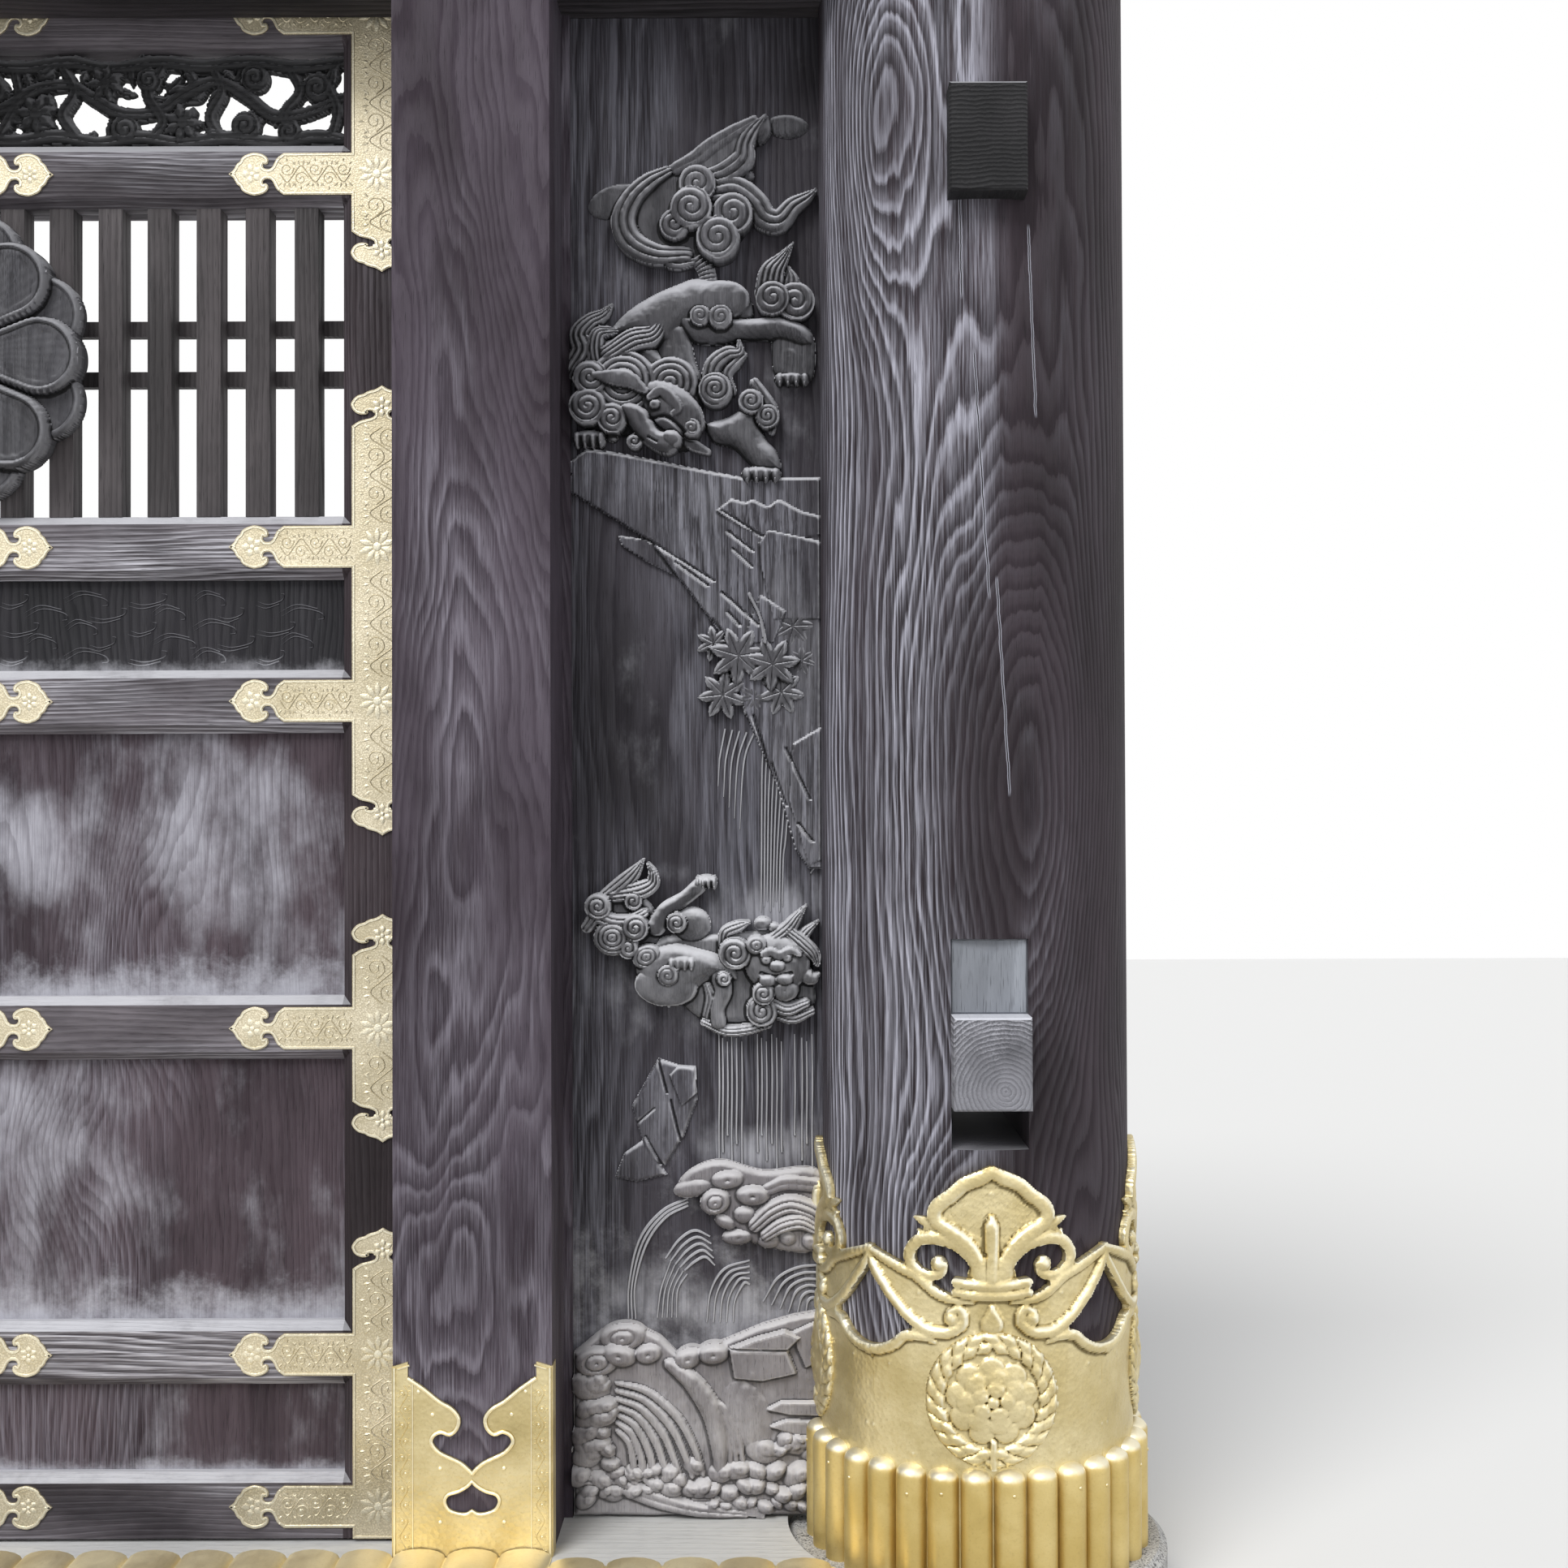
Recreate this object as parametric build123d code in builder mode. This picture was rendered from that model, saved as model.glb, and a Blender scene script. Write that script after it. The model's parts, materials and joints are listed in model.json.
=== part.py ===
from build123d import *
import os
from math import asin, cos, pi, sin

os.makedirs("parts", exist_ok=True)

# Pillar and the stone it stands on
pillar_radius = 250
pillar_height = 2900
stone_radius = 310
stone_height = 100
stone_bevel = 12
scribe_gap = 0.3

# Bay across the front
panel_width = 430
jamb_width = 250
jamb_front = 150
jamb_back = 100
doorway_width = 1570
leaf_lap = 30
side_gap = 5

# Heights of the sills, the head and the ground beams
door_sill_top = 68
panel_sill_top = 112
sill_back = 110
head_underside = 2612
lintel_height = 250
lintel_front = 145
beam_top = 108
door_beam_back = 156
panel_beam_back = 190

# Leaf
leaf_thickness = 75
leaf_front = 20
leaf_foot_gap = 6
leaf_head_gap = 6
stop_gap = 8
stile_width = 150
muntin_width = 90
rail_height = 106
kick_height = 146
lower_height = 436
upper_height = 440
frieze_height = 152
lattice_height = 520
transom_height = 164
edge_chamfer = 14
panel_thickness = 20
panel_setback = 26
panel_tongue = 14
tenon_length = 60
tenon_thickness = 24
tenon_shoulder = 14

# Pivots of the leaf
pivot_radius = 24
pivot_length = 46
pivot_clearance = 0.1
pivot_end_gap = 0.3
socket_length = 84
socket_depth = 64
socket_height = 58

# Lattice
bars_per_light = 7
bar_width = 40
bar_depth = 40
bar_setback = 12
cross_bar_height = 26
cross_bar_depth = 18
cross_bar_low = 228
cross_bar_spacing = 86

# Gilt plates on the leaf
plate_thickness = 3
stile_plate_width = 92
muntin_plate_width = 76
arm_height = 70
stile_arm_reach = 206
muntin_arm_reach = 182
tip_length = 62
transom_plate_drop = 165
lattice_plate_rise = 270
frieze_plate_drop = 225
middle_plate_reach = 190
kick_plate_rise = 210
cross_plate_reach = 125

# Carved flower on the lattice
rosette_radius = 255
rosette_petals = 8
rosette_base_radius = 176
rosette_base = 18
rosette_petal_height = 24
rosette_boss_radius = 46
rosette_boss_height = 16

# Tie beams through the pillar
tie_width = 118
upper_tie_low = 2215
upper_tie_height = 165
lower_tie_low = 830
lower_tie_height = 140
tie_end = 290
tie_end_bevel = 3
lower_mortise_low = 765
lower_mortise_top = 1085
wedge_setback = 12

# Gilt shoe round the pillar
shoe_thickness = 6
shoe_drum_top = 470
shoe_quarters = 4
finial_top = 739
bulb_half = 85
bulb_middle = 668
leaf_half_spread = 114
leaf_tip = 648
collar_half = 42
collar_low = 540
collar_high = 576
wing_tip = 600
window_top = 562
window_half = 72
shoe_rib_count = 32
shoe_rib_depth = 24
shoe_rib_gap = 1.5
shoe_rib_top = 285
medallion_radius = 104
medallion_height = 389
medallion_thickness = 6
medallion_sides = 10
slot_margin = 6

# Gilt sheath at the foot of each jamb
sheath_thickness = 3
sheath_top = 420
sheath_notch_width = 120
sheath_notch_low = 330
sheath_hole_low = 195
sheath_hole_height = 62
sheath_hole_width = 86
sheath_band = 34

# Ribbed covers on the ground beams
cover_rib_pitch = 41
cover_rib_height = 14
cover_plate = 6
rib_faces = 4

# Carved side panel
panel_board = 45
panel_front = 20
bead_size = 14
cliff_relief = 10
fall_relief = 6
fall_width = 14
rock_relief = 8
carving_base = 24
carving_body = 20
carving_curl = 16
curl_sides = 8
openwork_sides = 6
curl_taper = 24
carving_taper = 14
leaf_relief = 14

# Openwork carving in the transom
openwork_thickness = 30
openwork_setback = 20

# Positions that follow from the sizes above
pillar_to_jamb = panel_width + pillar_radius
total_length = stone_radius + pillar_to_jamb + 2 * jamb_width + doorway_width
pillar_x = total_length / 2 - stone_radius
panel_left = pillar_x - pillar_to_jamb
doorway_right = panel_left - jamb_width
doorway_left = doorway_right - doorway_width
outer_left = doorway_left - jamb_width
leaf_x = (doorway_left + doorway_right) / 2
leaf_half = doorway_width / 2 + leaf_lap
leaf_low = door_sill_top + leaf_foot_gap
opening_heights = [kick_height, lower_height, upper_height, frieze_height, lattice_height, transom_height]
rail_names = ["bottom", "kick", "middle", "frieze", "lattice", "transom", "top"]
light_names = ["kick", "lower", "upper", "frieze", "lattice", "transom"]
lattice_row = light_names.index("lattice")
rail_lows = [leaf_low + rail * rail_height + sum(opening_heights[:rail]) for rail in range(len(rail_names))]
leaf_top = rail_lows[-1] + rail_height
leaf_back = leaf_front + leaf_thickness
leaf_middle = leaf_front + leaf_thickness / 2
hinge_x = leaf_x + leaf_half - leaf_thickness / 2
light_width = leaf_half - stile_width - muntin_width / 2
light_offset = (muntin_width + light_width) / 2
rebate_front = leaf_front - stop_gap
rebate_reach = leaf_lap + side_gap
ground_depth = stone_radius


def elevation(x, depth, height):
    """A drawing plane that faces the viewer: its X runs along the bay and its Y runs up."""
    return Plane(origin=(x, depth, height), x_dir=(1, 0, 0), z_dir=(0, -1, 0))


def block(left, right, front, back, low, high, mode=Mode.ADD):
    """A rectangular length of timber between six faces."""
    with BuildSketch(Plane.XY.offset(low)) as outline:
        with Locations(((left + right) / 2, (front + back) / 2)):
            Rectangle(right - left, back - front)
    extrude(outline.sketch, amount=high - low, mode=mode)


def pillar_cut(radius, low, high):
    """Takes the round of the pillar, or of what surrounds it, out of the piece being made."""
    with BuildSketch(Plane.XY.offset(low)) as outline:
        with Locations((pillar_x, 0)):
            Circle(radius)
    extrude(outline.sketch, amount=high - low, mode=Mode.SUBTRACT)


def save(piece, name):
    """Labels a finished piece and writes it."""
    piece.part.label = name
    export_step(piece.part, "parts/" + name + ".step")


# Round base stone
with BuildPart() as base_stone:
    with BuildSketch():
        with Locations((pillar_x, 0)):
            Circle(stone_radius)
    extrude(amount=stone_height)
    chamfer(base_stone.edges().group_by(Axis.Z)[-1], stone_bevel)
save(base_stone, "base_stone")

# Round pillar with the mortises of its two tie beams
with BuildPart() as pillar:
    with BuildSketch(Plane.XY.offset(stone_height)):
        with Locations((pillar_x, 0)):
            Circle(pillar_radius)
    extrude(amount=pillar_height - stone_height)
    block(pillar_x - tie_width / 2, pillar_x + tie_width / 2, -pillar_radius, pillar_radius,
          upper_tie_low, upper_tie_low + upper_tie_height, Mode.SUBTRACT)
    block(pillar_x - tie_width / 2, pillar_x + tie_width / 2, -pillar_radius, pillar_radius,
          lower_mortise_low, lower_mortise_top, Mode.SUBTRACT)
save(pillar, "pillar")


def tie_beam(name, low, high, front, back):
    """A squared beam end or wedge that lies in a mortise of the pillar."""
    with BuildPart() as tie:
        block(pillar_x - tie_width / 2, pillar_x + tie_width / 2, front, back, low, high)
        chamfer(tie.faces().sort_by(Axis.Y)[0].edges(), tie_end_bevel)
    save(tie, name)


tie_beam("upper_tie_beam", upper_tie_low, upper_tie_low + upper_tie_height, -tie_end, tie_end)
tie_beam("lower_tie_beam", lower_tie_low, lower_tie_low + lower_tie_height, -tie_end, tie_end)
wedge_reach = pillar_radius - wedge_setback
tie_beam("lower_tie_wedge", lower_tie_low + lower_tie_height, lower_mortise_top, -wedge_reach, wedge_reach)


def jamb(name, inner_x, side):
    """A squared jamb, rebated at its back for the leaf. side is 1 to the right of the doorway."""
    outer_x = inner_x + side * jamb_width
    with BuildPart() as post:
        with BuildSketch(Plane.XY.offset(door_sill_top)):
            with BuildLine():
                Polyline(
                    (inner_x, -jamb_front),
                    (outer_x, -jamb_front),
                    (outer_x, jamb_back),
                    (inner_x + side * rebate_reach, jamb_back),
                    (inner_x + side * rebate_reach, rebate_front),
                    (inner_x, rebate_front),
                    close=True,
                )
            make_face()
        extrude(amount=head_underside - door_sill_top)
    save(post, name)


jamb("right_jamb", doorway_right, 1)
jamb("left_jamb", doorway_left, -1)


def jamb_sheath(name, inner_x, side):
    """A gilt sheet on the front of a jamb's foot, with a cusped notch and a heart-shaped hole."""
    middle = inner_x + side * jamb_width / 2
    height = sheath_top - door_sill_top
    notch_low = sheath_notch_low - door_sill_top
    hole_low = sheath_hole_low - door_sill_top
    half_notch = sheath_notch_width / 2
    half_hole = sheath_hole_width / 2
    with BuildPart() as sheath:
        with BuildSketch(elevation(middle, -jamb_front, door_sill_top)):
            with Locations((0, height / 2)):
                Rectangle(jamb_width, height)
            with BuildLine():
                Polyline(
                    (-half_notch, height),
                    (-half_notch * 0.34, notch_low + (height - notch_low) * 0.62),
                    (-half_notch * 0.6, notch_low + (height - notch_low) * 0.36),
                    (0, notch_low),
                    (half_notch * 0.6, notch_low + (height - notch_low) * 0.36),
                    (half_notch * 0.34, notch_low + (height - notch_low) * 0.62),
                    (half_notch, height),
                    close=True,
                )
            make_face(mode=Mode.SUBTRACT)
            with BuildLine():
                Polyline(
                    (0, hole_low),
                    (half_hole, hole_low + sheath_hole_height * 0.5),
                    (half_hole * 0.7, hole_low + sheath_hole_height),
                    (0, hole_low + sheath_hole_height * 0.75),
                    (-half_hole * 0.7, hole_low + sheath_hole_height),
                    (-half_hole, hole_low + sheath_hole_height * 0.5),
                    close=True,
                )
            make_face(mode=Mode.SUBTRACT)
        extrude(amount=sheath_thickness)
        with BuildSketch(elevation(middle, -jamb_front - sheath_thickness, door_sill_top)):
            band_x = (jamb_width - sheath_band) / 2
            with Locations((-band_x, height / 2), (band_x, height / 2)):
                Rectangle(sheath_band, height)
        extrude(amount=sheath_thickness / 2)
    save(sheath, name)


jamb_sheath("right_jamb_sheath", doorway_right, 1)
jamb_sheath("left_jamb_sheath", doorway_left, -1)

# Lintel over the doorway and the side panel, let in for the leaf and scribed to the pillar
with BuildPart() as lintel:
    block(outer_left, pillar_x, -lintel_front, sill_back, head_underside, head_underside + lintel_height)
    block(doorway_left - rebate_reach, doorway_right + rebate_reach, rebate_front, sill_back,
          head_underside, leaf_top + leaf_head_gap, Mode.SUBTRACT)
    block(hinge_x - socket_length / 2, hinge_x + socket_length / 2,
          leaf_middle - socket_depth / 2, leaf_middle + socket_depth / 2,
          leaf_top + leaf_head_gap, leaf_top + leaf_head_gap + socket_height, Mode.SUBTRACT)
    pillar_cut(pillar_radius + scribe_gap, head_underside, head_underside + lintel_height)
save(lintel, "lintel")

# Sill under the leaf and its jambs
with BuildPart() as door_sill:
    block(outer_left, panel_left, -door_beam_back, sill_back, 0, door_sill_top)
    block(hinge_x - socket_length / 2, hinge_x + socket_length / 2,
          leaf_middle - socket_depth / 2, leaf_middle + socket_depth / 2,
          door_sill_top - socket_height, door_sill_top, Mode.SUBTRACT)
save(door_sill, "door_sill")

# Higher sill under the side panel
with BuildPart() as panel_sill:
    block(panel_left, pillar_x, -panel_beam_back, sill_back, 0, panel_sill_top)
    pillar_cut(stone_radius + scribe_gap, 0, panel_sill_top)
save(panel_sill, "panel_sill")

# Ground beams in front of the sills
with BuildPart() as door_ground_beam:
    block(outer_left, panel_left, -ground_depth, -door_beam_back, 0, beam_top)
save(door_ground_beam, "door_ground_beam")

with BuildPart() as panel_ground_beam:
    block(panel_left, pillar_x, -ground_depth, -panel_beam_back, 0, beam_top)
    pillar_cut(stone_radius + scribe_gap, 0, beam_top)
    block(pillar_x - stone_radius / 2, pillar_x, -ground_depth, -panel_beam_back, 0, beam_top, Mode.SUBTRACT)
save(panel_ground_beam, "panel_ground_beam")


def rib_profile(start, width, height, base):
    """Points over one round rib, which is drawn with rib_faces flat faces."""
    points = []
    for step in range(rib_faces + 1):
        turn = pi * (1 - step / rib_faces)
        points.append((start + width / 2 * (1 + cos(turn)), base + height * sin(turn)))
    return points


def ribbed_cover(name, left, right, back):
    """A gilt sheet of round ribs that run from front to back over a ground beam."""
    ribs = int((right - left) // cover_rib_pitch)
    pitch = (right - left) / ribs
    with BuildPart() as cover:
        with BuildSketch(elevation(left, -back, beam_top)):
            with BuildLine():
                Line((0, cover_plate), (0, 0))
                Line((0, 0), (right - left, 0))
                Line((right - left, 0), (right - left, cover_plate))
                for rib in range(ribs):
                    Polyline(rib_profile(rib * pitch, pitch, cover_rib_height, cover_plate))
            make_face()
        extrude(amount=ground_depth - back)
        if right > pillar_x - stone_radius:
            pillar_cut(stone_radius + scribe_gap, 0, pillar_height)
    save(cover, name)


ribbed_cover("door_ribbed_cover", outer_left, panel_left, door_beam_back)
ribbed_cover("panel_ribbed_cover", panel_left, pillar_x - stone_radius / 2, panel_beam_back)


def pivot_socket(name, low, bore_low, bore_high):
    """A block let into the sill or the lintel, bored for one pivot of the leaf."""
    with BuildPart() as socket:
        block(hinge_x - socket_length / 2, hinge_x + socket_length / 2,
              leaf_middle - socket_depth / 2, leaf_middle + socket_depth / 2,
              low, low + socket_height)
        with BuildSketch(Plane.XY.offset(bore_low)):
            with Locations((hinge_x, leaf_middle)):
                Circle(pivot_radius + pivot_clearance)
        extrude(amount=bore_high - bore_low, mode=Mode.SUBTRACT)
    save(socket, name)


pivot_foot = leaf_low - pivot_length
head_socket_low = leaf_top + leaf_head_gap
pivot_socket("lower_pivot_socket", door_sill_top - socket_height, pivot_foot - pivot_end_gap, door_sill_top)
pivot_socket("upper_pivot_socket", head_socket_low, head_socket_low, leaf_top + pivot_length + pivot_end_gap)


def light_low(row):
    """Height of the lower edge of one row of openings in the leaf."""
    return rail_lows[row] + rail_height


def light_x(side):
    """Middle of the openings left (-1) or right (1) of the centre muntin."""
    return leaf_x + side * light_offset


def cut_chamfers(rows, sides=(-1, 1)):
    """Bevels the front edges that surround the openings in these rows, with mitred corners."""
    for row in rows:
        for side in sides:
            middle = light_low(row) + opening_heights[row] / 2
            with BuildSketch(elevation(light_x(side), leaf_front, middle)) as outline:
                Rectangle(light_width + 2 * edge_chamfer, opening_heights[row] + 2 * edge_chamfer)
            extrude(outline.sketch, amount=-edge_chamfer, taper=45, mode=Mode.SUBTRACT)


def panel_solid(row, side, mode=Mode.ADD):
    """One panel, tongues and all. It also cuts its own grooves in the frame round it."""
    half = light_width / 2 + panel_tongue
    front = leaf_front + panel_setback
    block(light_x(side) - half, light_x(side) + half, front, front + panel_thickness,
          light_low(row) - panel_tongue, light_low(row) + opening_heights[row] + panel_tongue, mode)


def cut_grooves(rows, sides=(-1, 1)):
    """Grooves for the solid panels in these rows."""
    for row in rows:
        if row < lattice_row:
            for side in sides:
                panel_solid(row, side, Mode.SUBTRACT)


def rail_tenon(row, side, mode=Mode.ADD):
    """The tenon at one end of a rail, or its mortise in the stile."""
    shoulder = leaf_x + side * (leaf_half - stile_width)
    reach = shoulder + side * tenon_length
    block(min(shoulder, reach), max(shoulder, reach),
          leaf_middle - tenon_thickness / 2 + tenon_shoulder, leaf_middle + tenon_thickness / 2 + tenon_shoulder,
          rail_lows[row] + tenon_shoulder, rail_lows[row] + rail_height - tenon_shoulder, mode)


def stile(name, side):
    """An upright of the leaf. The one on the right is rounded about the hinge and has the pivots."""
    shoulder = leaf_x + side * (leaf_half - stile_width)
    edge = leaf_x + side * leaf_half
    with BuildPart() as upright:
        if side > 0:
            block(shoulder, hinge_x, leaf_front, leaf_back, leaf_low, leaf_top)
            with BuildSketch(Plane.XY.offset(leaf_low)):
                with Locations((hinge_x, leaf_middle)):
                    Circle(leaf_thickness / 2)
            extrude(amount=leaf_top - leaf_low)
            with BuildSketch(Plane.XY.offset(pivot_foot)):
                with Locations((hinge_x, leaf_middle)):
                    Circle(pivot_radius)
            extrude(amount=leaf_top + pivot_length - pivot_foot)
        else:
            block(edge, shoulder, leaf_front, leaf_back, leaf_low, leaf_top)
        for row in range(len(rail_names)):
            rail_tenon(row, side, Mode.SUBTRACT)
        cut_chamfers(range(len(light_names)), (side,))
        cut_grooves(range(len(light_names)), (side,))
    save(upright, name)


stile("hinge_stile", 1)
stile("meeting_stile", -1)

# Seven rails, tenoned into the stiles
for row, rail_name in enumerate(rail_names):
    with BuildPart() as rail:
        block(leaf_x - leaf_half + stile_width, leaf_x + leaf_half - stile_width,
              leaf_front, leaf_back, rail_lows[row], rail_lows[row] + rail_height)
        rail_tenon(row, -1)
        rail_tenon(row, 1)
        beside = range(max(row - 1, 0), min(row + 1, len(light_names)))
        cut_chamfers(beside)
        cut_grooves(beside)
    save(rail, rail_name + "_rail")

# Centre muntin, in one length between each pair of rails
for row, light_name in enumerate(light_names):
    with BuildPart() as muntin:
        block(leaf_x - muntin_width / 2, leaf_x + muntin_width / 2,
              leaf_front, leaf_back, light_low(row), light_low(row) + opening_heights[row])
        cut_chamfers((row,))
        cut_grooves((row,))
    save(muntin, light_name + "_muntin")

# Solid panels, a pair to each of the four lower rows
for row, light_name in enumerate(light_names[:lattice_row]):
    for side, side_name in ((-1, "left"), (1, "right")):
        with BuildPart() as panel:
            panel_solid(row, side)
        save(panel, light_name + "_panel_" + side_name)

# Upright lattice bars and the two cross bars behind them
bar_gap = (light_width - bars_per_light * bar_width) / (bars_per_light + 1)
bar_front = leaf_front + bar_setback
with BuildPart() as lattice_bars:
    with BuildSketch(Plane.XY.offset(light_low(lattice_row))):
        for side in (-1, 1):
            with Locations((light_x(side), bar_front + bar_depth / 2)):
                with GridLocations(bar_width + bar_gap, bar_width, bars_per_light, 1):
                    Rectangle(bar_width, bar_depth)
    extrude(amount=lattice_height)
save(lattice_bars, "lattice_bars")

with BuildPart() as lattice_cross_bars:
    for side in (-1, 1):
        for step in range(2):
            cross_low = light_low(lattice_row) + cross_bar_low + step * cross_bar_spacing
            block(light_x(side) - light_width / 2, light_x(side) + light_width / 2,
                  bar_front + bar_depth, bar_front + bar_depth + cross_bar_depth,
                  cross_low, cross_low + cross_bar_height)
save(lattice_cross_bars, "lattice_cross_bars")


def plate_tip(width):
    """The cusped, pointed end of a gilt plate, drawn along +X from its root."""
    half = width / 2
    with BuildSketch() as tip:
        with BuildLine():
            Polyline(
                (0, -half),
                (0, half),
                (tip_length * 0.1, half * 0.5),
                (tip_length * 0.4, half * 0.4),
                (tip_length * 0.5, half * 0.64),
                (tip_length, 0),
                (tip_length * 0.5, -half * 0.64),
                (tip_length * 0.4, -half * 0.4),
                (tip_length * 0.1, -half * 0.5),
                close=True,
            )
        make_face()
    return tip.sketch


def plate_bar(left, right, low, high):
    """A plain stretch of plate."""
    with Locations(((left + right) / 2, (low + high) / 2)):
        Rectangle(right - left, high - low)


def arm(root, reach, height, side):
    """A plate arm along a rail, from its root towards side."""
    neck = root + side * (reach - tip_length)
    plate_bar(min(root, neck), max(root, neck), height - arm_height / 2, height + arm_height / 2)
    with Locations(Location((neck, height), 90 - 90 * side)):
        add(plate_tip(arm_height))


def upright_end(x, width, height, side):
    """The end of an upright plate, pointing up (1) or down (-1) from height."""
    with Locations(Location((x, height), 90 * side)):
        add(plate_tip(width))


def rail_middle(name):
    """Height of the middle of a rail."""
    return rail_lows[rail_names.index(name)] + rail_height / 2


def stile_plates(name, side):
    """The four gilt plates of one stile, with an arm along each rail."""
    inner = leaf_x + side * (leaf_half - stile_width + edge_chamfer + plate_thickness)
    outer = inner + side * stile_plate_width
    middle = (inner + outer) / 2
    spans = [
        (leaf_low, rail_middle("kick") + kick_plate_rise),
        (rail_middle("middle") - middle_plate_reach, rail_middle("middle") + middle_plate_reach),
        (rail_middle("frieze") - frieze_plate_drop, rail_middle("lattice") + lattice_plate_rise),
        (rail_middle("transom") - transom_plate_drop, leaf_top),
    ]
    with BuildPart() as plates:
        with BuildSketch(elevation(0, leaf_front, 0)):
            for low, high in spans:
                foot = low if low == leaf_low else low + tip_length
                head = high if high == leaf_top else high - tip_length
                plate_bar(min(inner, outer), max(inner, outer), foot, head)
                if foot > low:
                    upright_end(middle, stile_plate_width, foot, -1)
                if head < high:
                    upright_end(middle, stile_plate_width, head, 1)
            for rail_name in rail_names:
                arm(inner, stile_arm_reach, rail_middle(rail_name), -side)
        extrude(amount=plate_thickness)
    save(plates, name)


stile_plates("hinge_stile_plates", 1)
stile_plates("meeting_stile_plates", -1)

# Cross-shaped gilt plates where the centre muntin meets each rail
with BuildPart() as muntin_plates:
    with BuildSketch(elevation(0, leaf_front, 0)):
        for rail_name in rail_names:
            height = rail_middle(rail_name)
            low = leaf_low if rail_name == "bottom" else height - cross_plate_reach + tip_length
            high = leaf_top if rail_name == "top" else height + cross_plate_reach - tip_length
            plate_bar(leaf_x - muntin_plate_width / 2, leaf_x + muntin_plate_width / 2, low, high)
            if rail_name not in ("bottom", "transom"):
                upright_end(leaf_x, muntin_plate_width, low, -1)
            if rail_name not in ("top", "lattice"):
                upright_end(leaf_x, muntin_plate_width, high, 1)
            arm(leaf_x, muntin_arm_reach, height, -1)
            arm(leaf_x, muntin_arm_reach, height, 1)
    extrude(amount=plate_thickness)
save(muntin_plates, "muntin_plates")

# Flower carved over the middle of the lattice, with eight broad petals and tips between them
with BuildPart() as rosette:
    rosette_height = light_low(lattice_row) + lattice_height / 2
    with BuildSketch(elevation(leaf_x, leaf_front, rosette_height)):
        with BuildLine():
            star = []
            for tip in range(2 * rosette_petals):
                turn = pi * (tip + 0.5) / rosette_petals
                reach = rosette_radius - rosette_petal_height if tip % 2 else rosette_base_radius
                star.append((reach * cos(turn + pi / 2 / rosette_petals), reach * sin(turn + pi / 2 / rosette_petals)))
            Polyline(star, close=True)
        make_face()
    extrude(amount=rosette_base)
    petal_root = rosette_boss_radius * 0.8
    petal_half = rosette_radius * sin(pi / rosette_petals) * 0.86
    with BuildSketch(elevation(leaf_x, leaf_front - rosette_base, rosette_height)):
        with BuildSketch(mode=Mode.PRIVATE) as petal:
            with BuildLine():
                Polyline(
                    (petal_root, -petal_half * 0.3),
                    (rosette_radius * 0.62, -petal_half),
                    (rosette_radius * 0.86, -petal_half * 0.84),
                    (rosette_radius, 0),
                    (rosette_radius * 0.86, petal_half * 0.84),
                    (rosette_radius * 0.62, petal_half),
                    (petal_root, petal_half * 0.3),
                    close=True,
                )
            make_face()
        with PolarLocations(0, rosette_petals):
            add(petal.sketch)
    extrude(amount=rosette_petal_height, taper=20)
    with BuildSketch(elevation(leaf_x, leaf_front - rosette_base, rosette_height)):
        RegularPolygon(rosette_boss_radius, 2 * rosette_petals)
    extrude(amount=rosette_petal_height + rosette_boss_height, taper=20)
save(rosette, "rosette")

shoe_inner = pillar_radius + scribe_gap
shoe_outer = shoe_inner + shoe_thickness


def facing(turn):
    """A drawing plane through the pillar's axis that faces outwards, turned from the front."""
    return Plane(origin=(pillar_x, 0, 0), x_dir=(cos(turn), sin(turn), 0), z_dir=(sin(turn), -cos(turn), 0))


def cut_panel_slot():
    """Leaves the way free for the side panel, which runs in to the pillar, and for the finial behind it."""
    slot_front = panel_front - slot_margin
    slot_back = panel_front + panel_board + slot_margin
    block(pillar_x - stone_radius, pillar_x, slot_front, slot_back, 0, pillar_height, Mode.SUBTRACT)
    block(pillar_x - stone_radius, pillar_x, slot_front, leaf_half_spread + slot_margin,
          collar_low, pillar_height, Mode.SUBTRACT)


def pillar_ring(inner, outer, low, high):
    """A sleeve round the pillar."""
    with BuildSketch(Plane.XY.offset(low)) as outline:
        with Locations((pillar_x, 0)):
            Circle(outer)
            Circle(inner, mode=Mode.SUBTRACT)
    extrude(outline.sketch, amount=high - low)


def crown_outline():
    """Half of the shoe's upper edge in one quarter, from the finial's tip to the window at its side."""
    quarter = shoe_outer * sin(pi / shoe_quarters) + shoe_thickness
    return [
        (0, finial_top),
        (bulb_half * 0.35, finial_top - 36),
        (bulb_half, bulb_middle),
        (bulb_half * 0.6, bulb_middle - 48),
        (leaf_half_spread, leaf_tip),
        (leaf_half_spread * 0.86, collar_high + 12),
        (collar_half, collar_high),
        (collar_half, collar_low),
        (quarter - window_half, collar_low + 6),
        (quarter, wing_tip),
        (quarter, window_top),
        (quarter - window_half, shoe_drum_top + 24),
        (quarter - window_half * 0.8, shoe_drum_top),
    ]


# Gilt shoe: a drum with a crowned upper edge that repeats on each quarter of the pillar
with BuildPart() as pillar_shoe:
    pillar_ring(shoe_inner, shoe_outer, shoe_drum_top, finial_top)
    with BuildPart(mode=Mode.PRIVATE) as crowns:
        for quarter in range(shoe_quarters):
            right_half = crown_outline()
            left_half = [(-x, y) for x, y in reversed(right_half)]
            with BuildSketch(facing(2 * pi * quarter / shoe_quarters)):
                with BuildLine():
                    Polyline(right_half + left_half[:-1], close=True)
                make_face()
            extrude(amount=stone_radius)
    add(crowns.part, mode=Mode.INTERSECT)
    pillar_ring(shoe_inner, shoe_outer, stone_height, shoe_drum_top)
    cut_panel_slot()
save(pillar_shoe, "pillar_shoe")

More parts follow.
